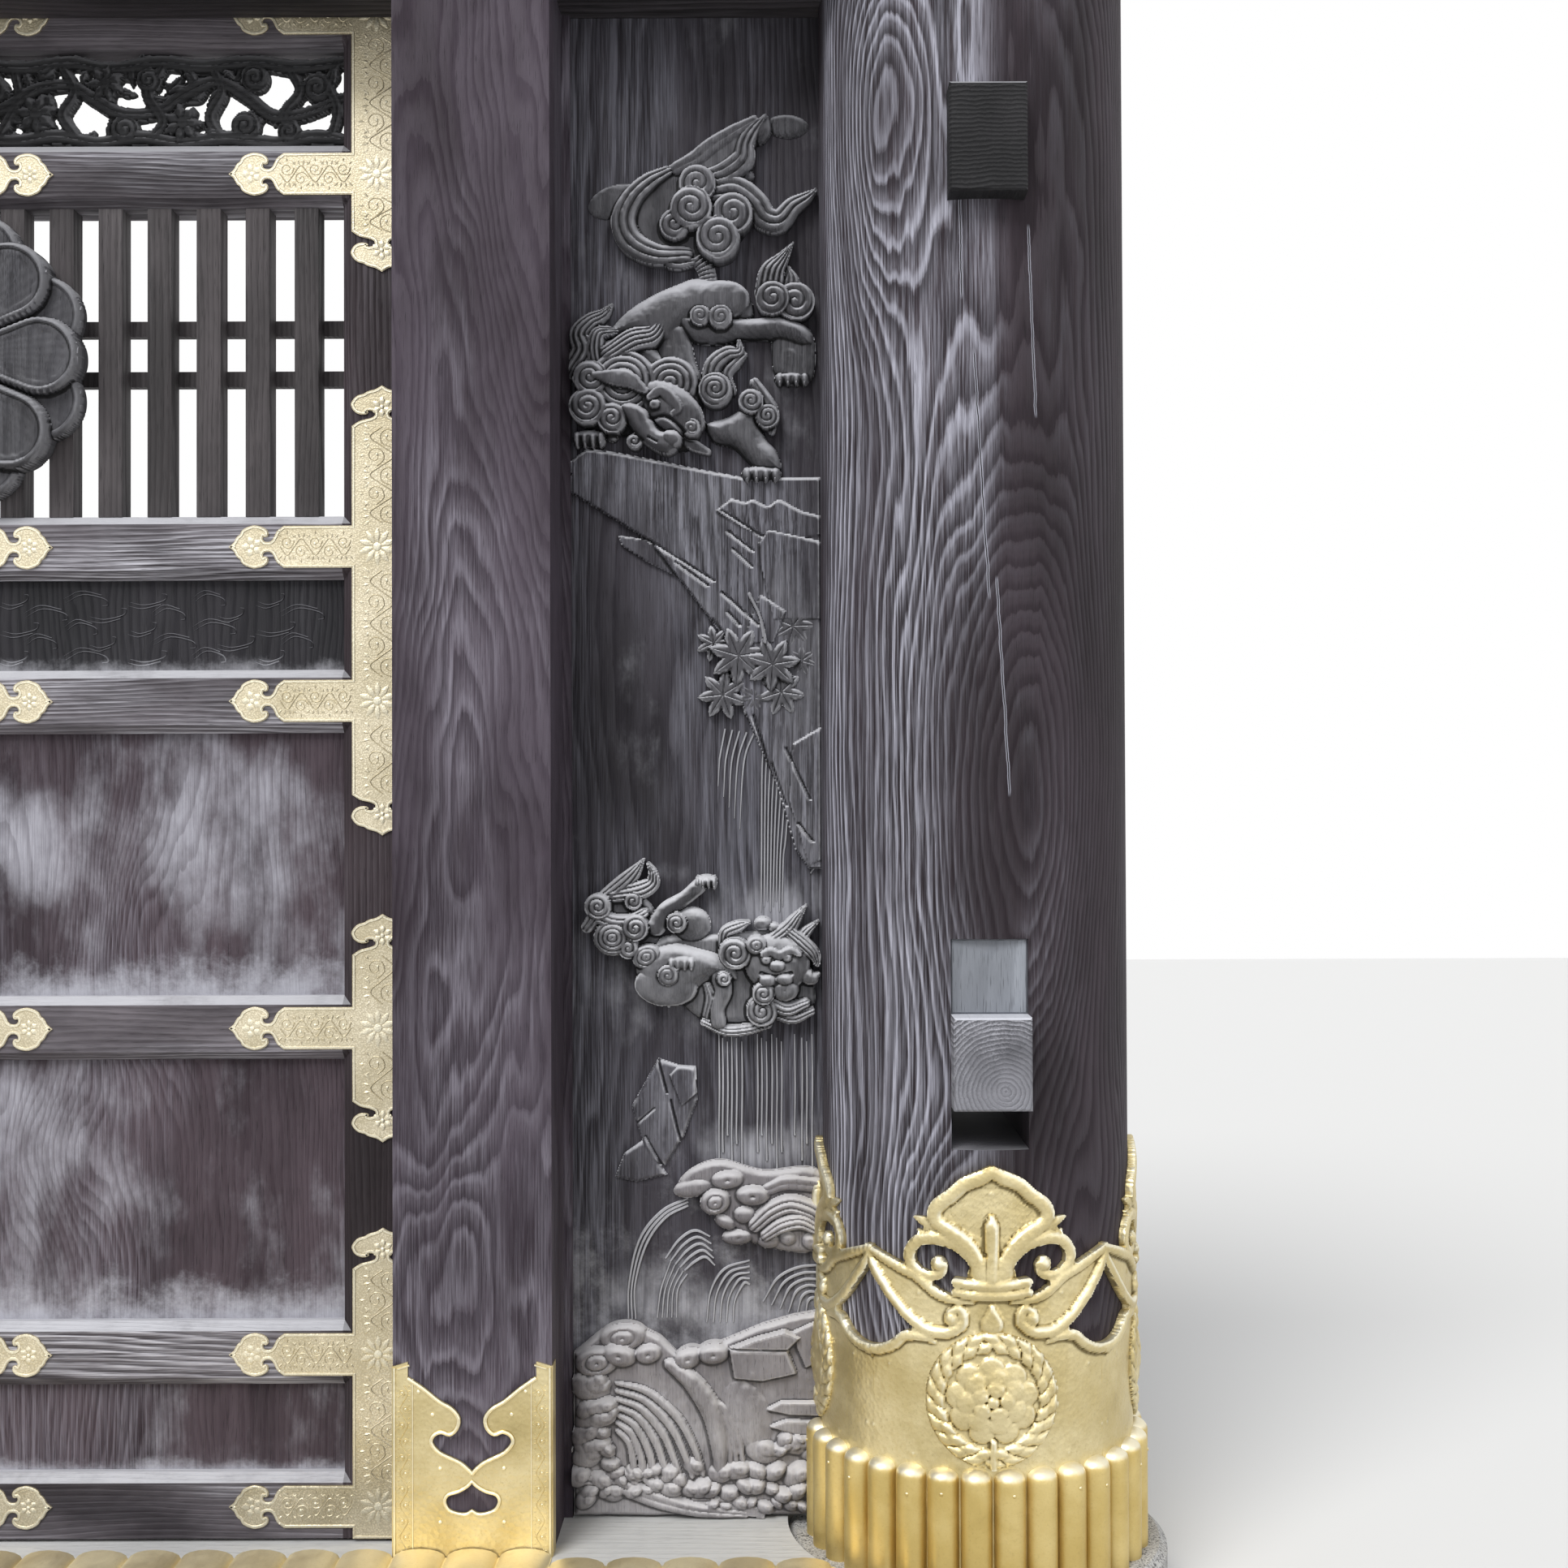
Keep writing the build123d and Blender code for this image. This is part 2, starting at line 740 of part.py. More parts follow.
# Upright round ribs that ring the foot of the shoe
with BuildPart() as shoe_ribs:
    rib_seat = shoe_outer + scribe_gap
    rib_half = rib_seat * pi / shoe_rib_count - shoe_rib_gap / 2
    slot_middle = asin((panel_front + panel_board / 2) / rib_seat)
    slot_half = asin((panel_board / 2 + slot_margin + rib_half) / rib_seat)
    for rib in range(shoe_rib_count):
        turn = 2 * pi * (rib + 0.5) / shoe_rib_count
        if abs(turn - (3 * pi / 2 - slot_middle)) < slot_half:
            continue
        outward = (pillar_x + rib_seat * sin(turn), -rib_seat * cos(turn), stone_height)
        with BuildSketch(Plane(origin=outward, x_dir=(cos(turn), sin(turn), 0), z_dir=(0, 0, 1))):
            with BuildLine():
                Polyline([(x, -y) for x, y in rib_profile(-rib_half, 2 * rib_half, shoe_rib_depth, 0)], close=True)
            make_face()
        extrude(amount=shoe_rib_top - stone_height)
save(shoe_ribs, "shoe_ribs")

# Round flower bosses on the drum, one to each quarter
with BuildPart() as shoe_medallions:
    pillar_ring(shoe_outer + scribe_gap, shoe_outer + scribe_gap + medallion_thickness,
                medallion_height - medallion_radius, medallion_height + medallion_radius)
    with BuildPart(mode=Mode.PRIVATE) as discs:
        for quarter in range(shoe_quarters):
            with BuildSketch(facing(2 * pi * quarter / shoe_quarters)):
                with Locations((0, medallion_height)):
                    RegularPolygon(medallion_radius, medallion_sides)
            extrude(amount=stone_radius)
    add(discs.part, mode=Mode.INTERSECT)
    cut_panel_slot()
save(shoe_medallions, "shoe_medallions")


def relief(points, seat, height, taper=carving_taper):
    """A raised mass of carving. Its outline is measured from the jamb's edge and from the ground."""
    with BuildSketch(elevation(panel_left, panel_front - seat, 0)) as outline:
        with BuildLine():
            Polyline(points, close=True)
        make_face()
    extrude(outline.sketch, amount=height, taper=taper)


def curls(centres, radius, seat):
    """Spiral curls of mane, cloud or foam, as tapered knobs."""
    for centre in centres:
        with BuildSketch(elevation(panel_left, panel_front - seat, 0)) as outline:
            with Locations(centre):
                RegularPolygon(radius, curl_sides)
        extrude(outline.sketch, amount=carving_curl, taper=curl_taper)


# Side panel, with the cliff, the waterfall and the rocks carved in low relief
with BuildPart() as carved_panel:
    block(panel_left, pillar_x, panel_front, panel_front + panel_board, panel_sill_top, head_underside)
    pillar_cut(shoe_inner, 0, pillar_height)
    relief([(18, 1868), (40, 1884), (235, 1846), (300, 1832), (420, 1834), (420, 1240), (386, 1200),
            (358, 1318), (303, 1443), (267, 1571), (213, 1642), (146, 1730), (20, 1806)], 0, cliff_relief)
    relief([(110, 790), (155, 870), (218, 856), (196, 760), (150, 700), (84, 672)], 0, rock_relief)
    for fall_x, fall_top, fall_foot in ((238, 1430, 1216), (276, 1430, 1216), (316, 1330, 1216),
                                        (268, 924, 712), (310, 924, 712), (352, 924, 712), (392, 924, 712)):
        relief([(fall_x, fall_foot), (fall_x + fall_width, fall_foot), (fall_x + fall_width / 2, fall_top)],
               0, fall_relief, 0)
save(carved_panel, "carved_panel")

# Narrow bead that closes the joint of panel and jamb
with BuildPart() as panel_bead:
    block(panel_left, panel_left + bead_size, panel_front - bead_size, panel_front, panel_sill_top, head_underside)
save(panel_bead, "panel_bead")

# Cloud and tail at the top
with BuildPart() as cloud_tail:
    relief([(56, 2308), (100, 2344), (150, 2366), (214, 2352), (258, 2392), (318, 2446), (344, 2436), (322, 2380),
            (330, 2338), (372, 2326), (420, 2330), (404, 2276), (330, 2232), (262, 2198), (210, 2184),
            (150, 2200), (96, 2232), (104, 2286)], 0, carving_base)
    relief([(150, 2326), (228, 2346), (304, 2300), (330, 2262), (262, 2206), (206, 2196), (150, 2240)],
           carving_base, carving_body)
    curls([(228, 2316), (188, 2262), (286, 2272), (256, 2228)], 30, carving_base + carving_body)
save(cloud_tail, "cloud_tail_carving")

# Lion that looks down from the cliff's edge
with BuildPart() as upper_lion:
    relief([(22, 2076), (64, 2096), (138, 2150), (216, 2172), (312, 2128), (352, 2196), (408, 2120), (418, 2010),
            (372, 1986), (308, 1990), (348, 1950), (352, 1852), (322, 1850), (268, 1906), (196, 1868),
            (120, 1892), (64, 1886), (20, 1890), (20, 1990)], 0, carving_base)
    relief([(96, 2076), (140, 2132), (216, 2152), (300, 2112), (324, 2066), (250, 2040), (214, 1996),
            (120, 2010)], carving_base, carving_body)
    relief([(70, 1984), (140, 1996), (206, 1930), (222, 1894), (190, 1876), (132, 1902), (84, 1930)],
           carving_base, carving_body + carving_curl)
    relief([(240, 1990), (296, 1976), (342, 1886), (336, 1858), (312, 1862)], carving_base, carving_body)
    curls([(44, 2004), (38, 1956), (78, 1946)], 24, carving_base)
    curls([(256, 1990), (318, 1956), (352, 2130), (388, 2124)], 22, carving_base)
save(upper_lion, "upper_lion_carving")

# Maple spray over the cliff's face
with BuildPart() as maple_spray:
    for leaf_x_place, leaf_z, leaf_reach in ((266, 1500, 46), (322, 1556, 52), (372, 1500, 50)):
        points = []
        for step in range(10):
            reach = leaf_reach * (0.42 if step % 2 else 1)
            turn = 2 * pi * step / 10 - pi / 2
            points.append((leaf_x_place + reach * cos(turn), leaf_z + reach * sin(turn)))
        relief(points, cliff_relief, leaf_relief)
save(maple_spray, "maple_spray_carving")

# Young lion that tumbles down the fall
with BuildPart() as lower_lion:
    relief([(42, 1120), (80, 1172), (122, 1208), (152, 1200), (150, 1150), (200, 1184), (246, 1180), (250, 1130),
            (300, 1090), (352, 1116), (414, 1110), (416, 1010), (380, 950), (300, 928), (214, 930),
            (140, 1010), (74, 1060)], 0, carving_base)
    relief([(120, 1062), (196, 1136), (246, 1120), (280, 1060), (282, 960), (220, 950), (160, 1006)],
           carving_base, carving_body)
    relief([(282, 1070), (340, 1092), (392, 1060), (402, 1000), (364, 954), (310, 956), (280, 1000)],
           carving_base, carving_body + carving_curl)
    curls([(70, 1120), (118, 1094)], 26, carving_base)
save(lower_lion, "lower_lion_carving")

# Foam where the fall strikes
with BuildPart() as wave_crest:
    relief([(188, 700), (240, 704), (330, 676), (414, 690), (414, 572), (330, 580), (250, 596), (240, 650),
            (190, 672)], 0, carving_base)
    curls([(226, 684), (282, 650), (340, 626), (388, 600)], 28, carving_base)
save(wave_crest, "wave_crest_carving")

# Breaking waves at the foot
with BuildPart() as lower_waves:
    relief([(20, 122), (18, 400), (70, 446), (130, 440), (200, 410), (262, 424), (340, 452), (394, 440),
            (394, 122)], 0, carving_base)
    relief([(70, 150), (70, 330), (130, 372), (200, 340), (250, 250), (262, 150)], carving_base, carving_body)
    relief([(250, 300), (290, 410), (384, 416), (386, 300)], carving_base, carving_curl)
    curls([(52, 410), (104, 412), (48, 350), (60, 184), (140, 152), (220, 152), (300, 156), (360, 172)],
          30, carving_base)
save(lower_waves, "lower_waves_carving")

# Openwork scrolls in the two transom openings
with BuildPart() as transom_openwork:
    transom_row = light_names.index("transom")
    transom_middle = light_low(transom_row) + transom_height / 2
    scroll_pitch = transom_height * 0.9
    scrolls = int(light_width // scroll_pitch)
    for side in (-1, 1):
        with BuildSketch(elevation(light_x(side), leaf_front + openwork_setback, transom_middle)):
            Rectangle(light_width, transom_height)
            with GridLocations(light_width / scrolls, transom_height * 0.5, scrolls, 2):
                RegularPolygon(transom_height * 0.18, openwork_sides, mode=Mode.SUBTRACT)
        extrude(amount=-openwork_thickness)
save(transom_openwork, "transom_openwork")
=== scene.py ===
import json
import math
import bpy
import numpy as np
from mathutils import Euler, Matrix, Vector
from mathutils.geometry import tessellate_polygon


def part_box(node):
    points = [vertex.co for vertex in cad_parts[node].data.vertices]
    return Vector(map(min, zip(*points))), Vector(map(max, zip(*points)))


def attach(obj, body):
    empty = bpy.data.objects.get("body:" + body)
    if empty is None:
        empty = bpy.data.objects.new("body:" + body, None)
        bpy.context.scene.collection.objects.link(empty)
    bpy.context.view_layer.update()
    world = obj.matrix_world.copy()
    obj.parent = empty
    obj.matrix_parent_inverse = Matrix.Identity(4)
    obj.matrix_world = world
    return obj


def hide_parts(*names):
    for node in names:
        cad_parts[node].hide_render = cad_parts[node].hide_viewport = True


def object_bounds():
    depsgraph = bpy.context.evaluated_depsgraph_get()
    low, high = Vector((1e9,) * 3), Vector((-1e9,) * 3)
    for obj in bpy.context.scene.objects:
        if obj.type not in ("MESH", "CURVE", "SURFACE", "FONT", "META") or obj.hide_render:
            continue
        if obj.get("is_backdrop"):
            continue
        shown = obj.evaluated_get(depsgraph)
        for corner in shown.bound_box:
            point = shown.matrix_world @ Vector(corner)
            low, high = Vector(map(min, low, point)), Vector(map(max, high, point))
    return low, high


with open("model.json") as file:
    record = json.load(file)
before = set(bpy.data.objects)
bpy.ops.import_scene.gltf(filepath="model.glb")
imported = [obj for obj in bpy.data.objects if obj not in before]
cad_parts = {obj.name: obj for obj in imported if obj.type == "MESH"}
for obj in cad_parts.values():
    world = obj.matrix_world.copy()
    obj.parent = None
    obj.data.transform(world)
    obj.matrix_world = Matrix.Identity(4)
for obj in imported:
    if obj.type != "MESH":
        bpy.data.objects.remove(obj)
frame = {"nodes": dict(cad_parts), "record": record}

cad_low, cad_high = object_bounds()
scene = bpy.context.scene
rng = np.random.default_rng(7)

# Places taken from the frame, in millimetres
PANEL_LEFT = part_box("panel_bead")[0].x * 1000
PANEL_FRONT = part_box("panel_bead")[1].y * 1000
PILLAR_X = (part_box("pillar")[0].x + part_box("pillar")[1].x) * 500
LEAF_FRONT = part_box("kick_rail")[0].y * 1000
LEAF_X = (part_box("kick_muntin")[0].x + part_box("kick_muntin")[1].x) * 500
SHOE_R = (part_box("pillar_shoe")[1].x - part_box("pillar_shoe")[0].x) * 500
PILLAR_R = 250.3      # the pillar's radius with a hair's gap
STONE_R = 310.6       # the base stone's radius with a small gap


# Materials
class Value:
    """A number in a node material. Arithmetic with it adds math nodes."""

    def __init__(self, shade, socket):
        self.shade, self.socket = shade, socket

    def __add__(self, other):
        return self.shade.math("ADD", self, other)

    def __sub__(self, other):
        return self.shade.math("SUBTRACT", self, other)

    def __rsub__(self, other):
        return self.shade.math("SUBTRACT", other, self)

    def __mul__(self, other):
        return self.shade.math("MULTIPLY", self, other)

    def __truediv__(self, other):
        return self.shade.math("DIVIDE", self, other)

    def __abs__(self):
        return self.shade.math("ABSOLUTE", self)


class Shade:
    """A small builder for a node material."""

    def __init__(self, name):
        self.mat = bpy.data.materials.new(name)
        self.mat.use_nodes = True
        self.tree = self.mat.node_tree
        self.bsdf = self.tree.nodes["Principled BSDF"]
        coords = self.add("TexCoord").outputs
        self.coord = coords["Object"]
        self.unit = coords["Generated"]

    def add(self, kind, props=None, **sockets):
        """A new node. Sockets are given by name, or as i0, i1 and so on by number."""
        node = self.tree.nodes.new("ShaderNode" + kind)
        for key, value in (props or {}).items():
            setattr(node, key, value)
        for key, value in sockets.items():
            where = int(key[1:]) if key[1:].isdigit() else key.replace("_", " ")
            self.put(node.inputs[where], value)
        return node

    def put(self, socket, value):
        """Links a socket or sets its value. A colour may be given without its alpha."""
        if isinstance(value, Value):
            value = value.socket
        if isinstance(value, bpy.types.NodeSocket):
            self.tree.links.new(value, socket)
        else:
            socket.default_value = (*value, 1.0) if socket.type == "RGBA" else value

    def math(self, op, a, b=0.0):
        return Value(self, self.add("Math", {"operation": op}, i0=a, i1=b).outputs[0])

    def vmath(self, op, a, b):
        return self.add("VectorMath", {"operation": op}, i0=a, i1=b).outputs[0]

    def spot(self, *offsets):
        """A soft spot, 1 where all offsets are 0 and near 0 where one is above 2."""
        total = offsets[0] * offsets[0]
        for offset in offsets[1:]:
            total = total + offset * offset
        return self.math("EXPONENT", total * -1.0)

    def mix(self, amount, a, b):
        node = self.add("Mix", {"data_type": "RGBA", "clamp_factor": True})
        for socket, value in ((0, amount), (6, a), (7, b)):
            self.put(node.inputs[socket], value)
        return node.outputs[2]

    def ramp(self, value, low, high, to_low=0.0, to_high=1.0):
        """A smooth step from to_low where value is low, to to_high where it is high."""
        node = self.add("MapRange", {"interpolation_type": "SMOOTHSTEP"}, i0=value, i1=low, i2=high, i3=to_low,
                        i4=to_high)
        return Value(self, node.outputs[0])

    def scaled(self, x, y, z):
        return self.add("Mapping", None, Vector=self.coord, Scale=(x, y, z)).outputs[0]

    def noise(self, vector, scale=1.0, detail=4.0, rough=0.55):
        node = self.add("TexNoise", None, Vector=vector, Scale=scale, Detail=detail, Roughness=rough)
        return Value(self, node.outputs[0])

    def cells(self, scale, output=0):
        return self.add("TexVoronoi", None, Vector=self.coord, Scale=scale).outputs[output]

    def parts(self, vector):
        return [Value(self, socket) for socket in self.add("SeparateXYZ", None, i0=vector).outputs]

    def up(self):
        """How far the face turns up, from -1 to 1."""
        return self.parts(self.add("NewGeometry").outputs["Normal"])[2]

    def relief(self):
        """The carving's own depth: below 0.5 in recesses, above it on crests."""
        return Value(self, self.add("Attribute", {"attribute_name": "relief"}).outputs["Fac"])

    def finish(self, colour, rough, height, strength, distance):
        """Gives the surface its colour, roughness and bump, and returns the material."""
        self.put(self.bsdf.inputs["Base Color"], colour)
        self.put(self.bsdf.inputs["Roughness"], rough)
        bump = self.add("Bump", None, Height=height, Strength=strength, Distance=distance).outputs[0]
        self.put(self.bsdf.inputs["Normal"], bump)
        return self.mat


def wood(name, dark, mid, pale, along="Z", centre=(0.0, 0.25), pitch=0.011, warp=0.05, dust_and_top_light=0.6, foot=0.0, tilt=0.0,
         dust_and_highlight_colour=(0.34, 0.34, 0.35), figure=0.8, relief=False, rough=0.62, streak=0.5, shift=0.0, knots=(),
         haze=0.0, cracks=(), rings=(), deep=0.93, crest=0.42, glint=0.035, mist=(), clear=0.0):
    """Weathered timber: growth rings round knots, fibres, rain streaks, dusty pale faces that turn up with painted
    top light, painted shade in carved recesses, and on the pillar a painted shaded side.
    """
    s = Shade(name)
    x, y, z = s.parts(s.coord)
    across, out, length = {"Z": (x, y, z), "X": (y, z, x), "Y": (x, z, y)}[along]
    grain = s.add("CombineXYZ", None, i0=across, i1=out, i2=length).outputs[0]
    grain = s.vmath("ADD", grain, (shift, shift * 0.7, shift * 1.3))

    def fleck(a, c, detail, roughness):
        """Noise of a cells to the metre across the grain and c along it."""
        return s.noise(s.vmath("MULTIPLY", grain, (a, a, c)), 1.0, detail, roughness)

    # the distance from the trunk's centre, pushed out at each knot
    drift = s.add("TexNoise", None, Vector=s.vmath("MULTIPLY", grain, (3.2, 3.2, 0.9)), Scale=1.0, Detail=3.0,
                  Roughness=0.5)
    drift = s.vmath("SUBTRACT", drift.outputs[1], (0.5, 0.5, 0.5))
    a, b, c = s.parts(s.vmath("ADD", grain, s.vmath("MULTIPLY", drift, (warp * 2, warp * 2, 0.0))))
    a = a - (centre[0] + shift)
    b = b - (centre[1] + shift * 0.7) - c * tilt
    far = s.math("SQRT", a * a + b * b)
    for a0, c0, wide, tall, amount in knots:
        far = far + s.spot((a - a0) / wide, (c - (c0 + shift * 1.3)) / tall) * amount
    ring = s.math("FRACT", far / pitch + fleck(26, 1.6, 4.0, 0.6) * 1.7)
    late = s.ramp(ring, 0.42, 0.9) * s.ramp(ring, 1.0, 0.93)
    early = s.ramp(ring, 0.0, 0.12) * s.ramp(ring, 0.45, 0.2)
    fibre = fleck(420, 9, 3.0, 0.6)
    blotch = fleck(7, 2.2, 5.0, 0.6)
    rain = fleck(38, 1.6, 4.0, 0.55)
    pores = s.ramp(fleck(900, 26, 2.0, 0.5), 0.60, 0.72)

    # where the surface is worn pale, and on the pillar where painted light falls
    wear_and_light = s.ramp(fleck(4.5, 1.1, 4.0, 0.55), 0.44, 0.66)
    # Painted shade: with rings (the pillar), the pale wear fades towards the right side, which turns from the key
    # light.
    if rings:
        wear_and_light = wear_and_light * s.ramp(a, 0.13, -0.09, 0.12, 1.0)
    for level, width, amount, side in rings:
        band = s.spot((far - level) / width) * amount * s.ramp(a, side + 0.03, side - 0.05)
        wear_and_light = s.math("MAXIMUM", wear_and_light * 0.6, band)

    colour = s.mix(s.ramp(blotch, 0.3, 0.72), dark, mid)
    thread = s.ramp(fibre, 0.36, 0.72) + early * (figure * 0.8)
    colour = s.mix(thread * (wear_and_light * (streak * 0.8) + glint), colour, pale)
    colour = s.mix(s.ramp(rain, 0.52, 0.8) * (wear_and_light * (streak * 0.6)), colour, pale)
    line = late * ((wear_and_light * 0.45 + 0.42) * figure) * s.ramp(rain, 0.3, 0.6, 0.55, 1.0)
    colour = s.mix(line, colour, s.mix(0.3, dark, (0.0, 0.0, 0.0)))
    colour = s.mix(pores * 0.55, colour, (0.008, 0.007, 0.008))
    low_down = s.parts(s.unit)[2]
    if haze:
        veil = fleck(12, 6.5, 6.0, 0.62) + (0.55 - low_down) * 0.20
        veil = veil + (s.noise(s.coord, 2.6, 3.0, 0.5) - (0.5 + clear))
        for x0, z0, wide, high, amount in mist:
            veil = veil + s.spot((x - x0) / wide, (z - z0) / high) * amount
        veil = s.ramp(veil, 0.37, 0.86) * s.ramp(fibre, 0.2, 0.65, 0.62, 1.0) * (1.0 - late * (figure * 0.7))
        colour = s.mix(veil * haze, colour, s.mix(0.3, dust_and_highlight_colour, pale))
    if relief:
        edge = s.relief()
        # Pale crests, where the relief value is high: partly dusty wear, partly painted highlight.
        colour = s.mix(s.ramp(edge, 0.56, 0.9, 0.0, crest), colour, dust_and_highlight_colour)
        # Painted shade: recesses, carved walls and bead feet, where the relief value is low, go nearly black.
        colour = s.mix(s.ramp(edge, 0.47, 0.22, 0.0, deep), colour, (0.004, 0.004, 0.0045))
    # Pale where faces turn up: partly dusty, partly painted light from above.
    turned_up = s.up() + (s.noise(s.coord, 9.0, 5.0, 0.66) - 0.5) * 0.9
    colour = s.mix(s.ramp(turned_up, 0.18, 0.75, 0.0, dust_and_top_light), colour, dust_and_highlight_colour)
    if foot:
        bloom = low_down + (s.noise(s.coord, 16.0, 6.0, 0.7) - 0.5) * 0.42 + (rain - 0.5) * 0.12
        colour = s.mix(s.ramp(bloom, 0.2, -0.02, 0.0, foot), colour, dust_and_highlight_colour)
    for x0, z0, x1, z1 in cracks:
        t = (z - z0) / (z1 - z0)
        wander = (s.noise(s.scaled(0, 0, 22), 1.0, 3.0) - 0.5) * 0.006
        gap = abs(x - (t * (x1 - x0) + x0 + wander))
        here = s.ramp(t, 0.0, 0.04) * s.ramp(t, 1.0, 0.96) * s.ramp(y, 0.0, -0.01)
        colour = s.mix(s.ramp(gap, 0.0026, 0.0014) * (here * 0.6), colour, pale)
        colour = s.mix(s.ramp(gap, 0.0013, 0.0006) * here, colour, (0.01, 0.009, 0.01))
    s.bsdf.inputs["Specular IOR Level"].default_value = 0.3
    height = early * (0.6 * figure) + fibre * 0.8 - (pores + late * figure) * 0.5
    return s.finish(colour, s.ramp(fibre + late, 0.2, 1.4, rough, rough + 0.25), height, 0.6, 0.0014)


def carved(name, dark, mid, pale, dust_and_highlight_colour, figure, streak, along="Z", centre=(0.7, 0.25), dust_and_top_light=0.95, **how):
    """Wood of a carving, with painted shade in the recesses and pale crests that are partly wear and partly painted
    highlight.
    """
    return wood(name, dark, mid, pale, along, centre, 0.010, 0.05, dust_and_top_light, dust_and_highlight_colour=dust_and_highlight_colour, figure=figure,
                streak=streak, relief=True, **how)


def gilt(name, bright, deep, tarnish, rough=0.34, punch=0.0, hammer=0.0, relief=False, aged=0.35, top=None,
         raised=None):
    """Gilded copper: leaf colour that drifts, dull patches, fine scratches, pale crests that are partly wear and
    partly painted highlight, recesses dark with tarnish and painted shade, and a painted highlight where faces turn
    up.
    """
    s = Shade(name)
    patch = s.noise(s.coord, 9.0, 5.0, 0.6)
    fine = s.noise(s.coord, 260.0, 3.0, 0.6)
    rub = s.noise(s.scaled(60, 60, 900), 1.0, 2.0, 0.5)
    stain = s.noise(s.coord, 38.0, 6.0, 0.7)
    colour = s.mix(s.ramp(patch, 0.35, 0.68), deep, bright)
    for dull in (s.ramp(fine, 0.52, 0.8), s.ramp(stain, 0.55, 0.8), s.ramp(patch, 0.4, 0.22)):
        colour = s.mix(dull * aged, colour, tarnish)
    height = fine * 0.4 + stain * 0.9
    # Painted highlight: faces that turn up are lightened towards the top colour.
    if top:
        colour = s.mix(s.ramp(s.up() + (stain - 0.5) * 0.5, 0.15, 0.6, 0.0, 0.8), colour, top)
    if punch:
        dots = s.cells(punch)
        height = height - Value(s, dots) * 0.9
        colour = s.mix(s.ramp(dots, 0.2, 0.62, 0.0, 0.42), colour, s.mix(0.15, tarnish, (0.05, 0.035, 0.015)))
    if hammer:
        height = height + Value(s, s.cells(hammer)) * 1.6
    if relief:
        edge = s.relief()
        # Tarnish and painted shade darken the recesses.
        colour = s.mix(s.ramp(edge, 0.47, 0.12, 0.0, 0.85), colour, s.mix(0.6, tarnish, (0.04, 0.025, 0.008)))
        # Pale crests: partly wear, partly painted highlight.
        colour = s.mix(s.ramp(edge, 0.56, 0.85, 0.0, 0.8), colour, raised or bright)
    s.bsdf.inputs["Metallic"].default_value = 0.8
    return s.finish(colour, s.ramp(patch + rub * 0.5, 0.4, 1.1, rough, rough + 0.2), height, 0.28, 0.0016)


def granite(name):
    s = Shade(name)
    tone = s.parts(s.cells(420.0, 1))[0]
    cloud = s.noise(s.coord, 14.0, 5.0, 0.6)
    colour = s.mix(s.ramp(tone, 0.1, 0.9), (0.30, 0.295, 0.29), (0.55, 0.545, 0.53))
    colour = s.mix(s.ramp(tone, 0.14, 0.06), colour, (0.09, 0.09, 0.09))
    colour = s.mix(s.ramp(cloud, 0.45, 0.75, 0.0, 0.5), colour, (0.36, 0.34, 0.30))
    return s.finish(colour, 0.85, tone + cloud, 0.4, 0.0012)


DUST_AND_HIGHLIGHT = (0.36, 0.36, 0.38)
TREE = PILLAR_X / 1000      # the pillar's middle, in metres
leaf_up = wood("leaf upright", (0.016, 0.011, 0.013), (0.05, 0.036, 0.042), (0.20, 0.18, 0.20),
               "Z", (-0.5, 0.30), 0.009, 0.03, 0.8, dust_and_highlight_colour=DUST_AND_HIGHLIGHT, figure=0.5, streak=0.4)
leaf_across = wood("leaf rail", (0.026, 0.021, 0.025), (0.16, 0.142, 0.158), (0.56, 0.55, 0.60),
                   "X", (0.30, 0.6), 0.008, 0.04, 0.95, dust_and_highlight_colour=(0.52, 0.52, 0.55), figure=0.7, streak=0.95)
panel_wood = wood("leaf panel", (0.024, 0.015, 0.020), (0.080, 0.058, 0.070), (0.30, 0.28, 0.33),
                  "Z", (-0.6, 0.16), 0.012, 0.11, 0.8, 0.85, 0.05, (0.46, 0.46, 0.51), 0.42, streak=0.45, shift=0.37,
                  knots=((0.1, 1.35, 0.1, 0.2, 0.08), (0.42, 1.05, 0.12, 0.2, 0.09), (0.3, 0.7, 0.12, 0.12, 0.07),
                         (-0.2, 1.2, 0.12, 0.25, 0.08), (-0.4, 0.6, 0.1, 0.18, 0.07)), haze=0.95, clear=0.10,
                  mist=((-0.09, 1.20, 0.20, 0.16, 0.26), (-0.38, 1.26, 0.14, 0.14, 0.18),
                        (-0.40, 0.76, 0.10, 0.13, 0.24), (0.02, 0.62, 0.22, 0.05, 0.16),
                        (-1.02, 1.16, 0.18, 0.16, 0.22), (-0.82, 0.74, 0.12, 0.14, 0.2)))
frieze_wood = wood("frieze panel", (0.008, 0.008, 0.010), (0.026, 0.024, 0.029), (0.12, 0.12, 0.13),
                   "Z", (-0.6, 0.16), 0.012, 0.11, 0.3, 0.8, 0.05, (0.40, 0.40, 0.43), 0.5, streak=0.4, shift=0.37)
lattice_wood = wood("lattice", (0.03, 0.027, 0.028), (0.085, 0.075, 0.078), (0.21, 0.195, 0.20),
                    "Z", (-0.5, 0.2), 0.009, 0.03, 0.5, figure=0.4, streak=0.5, shift=0.9)
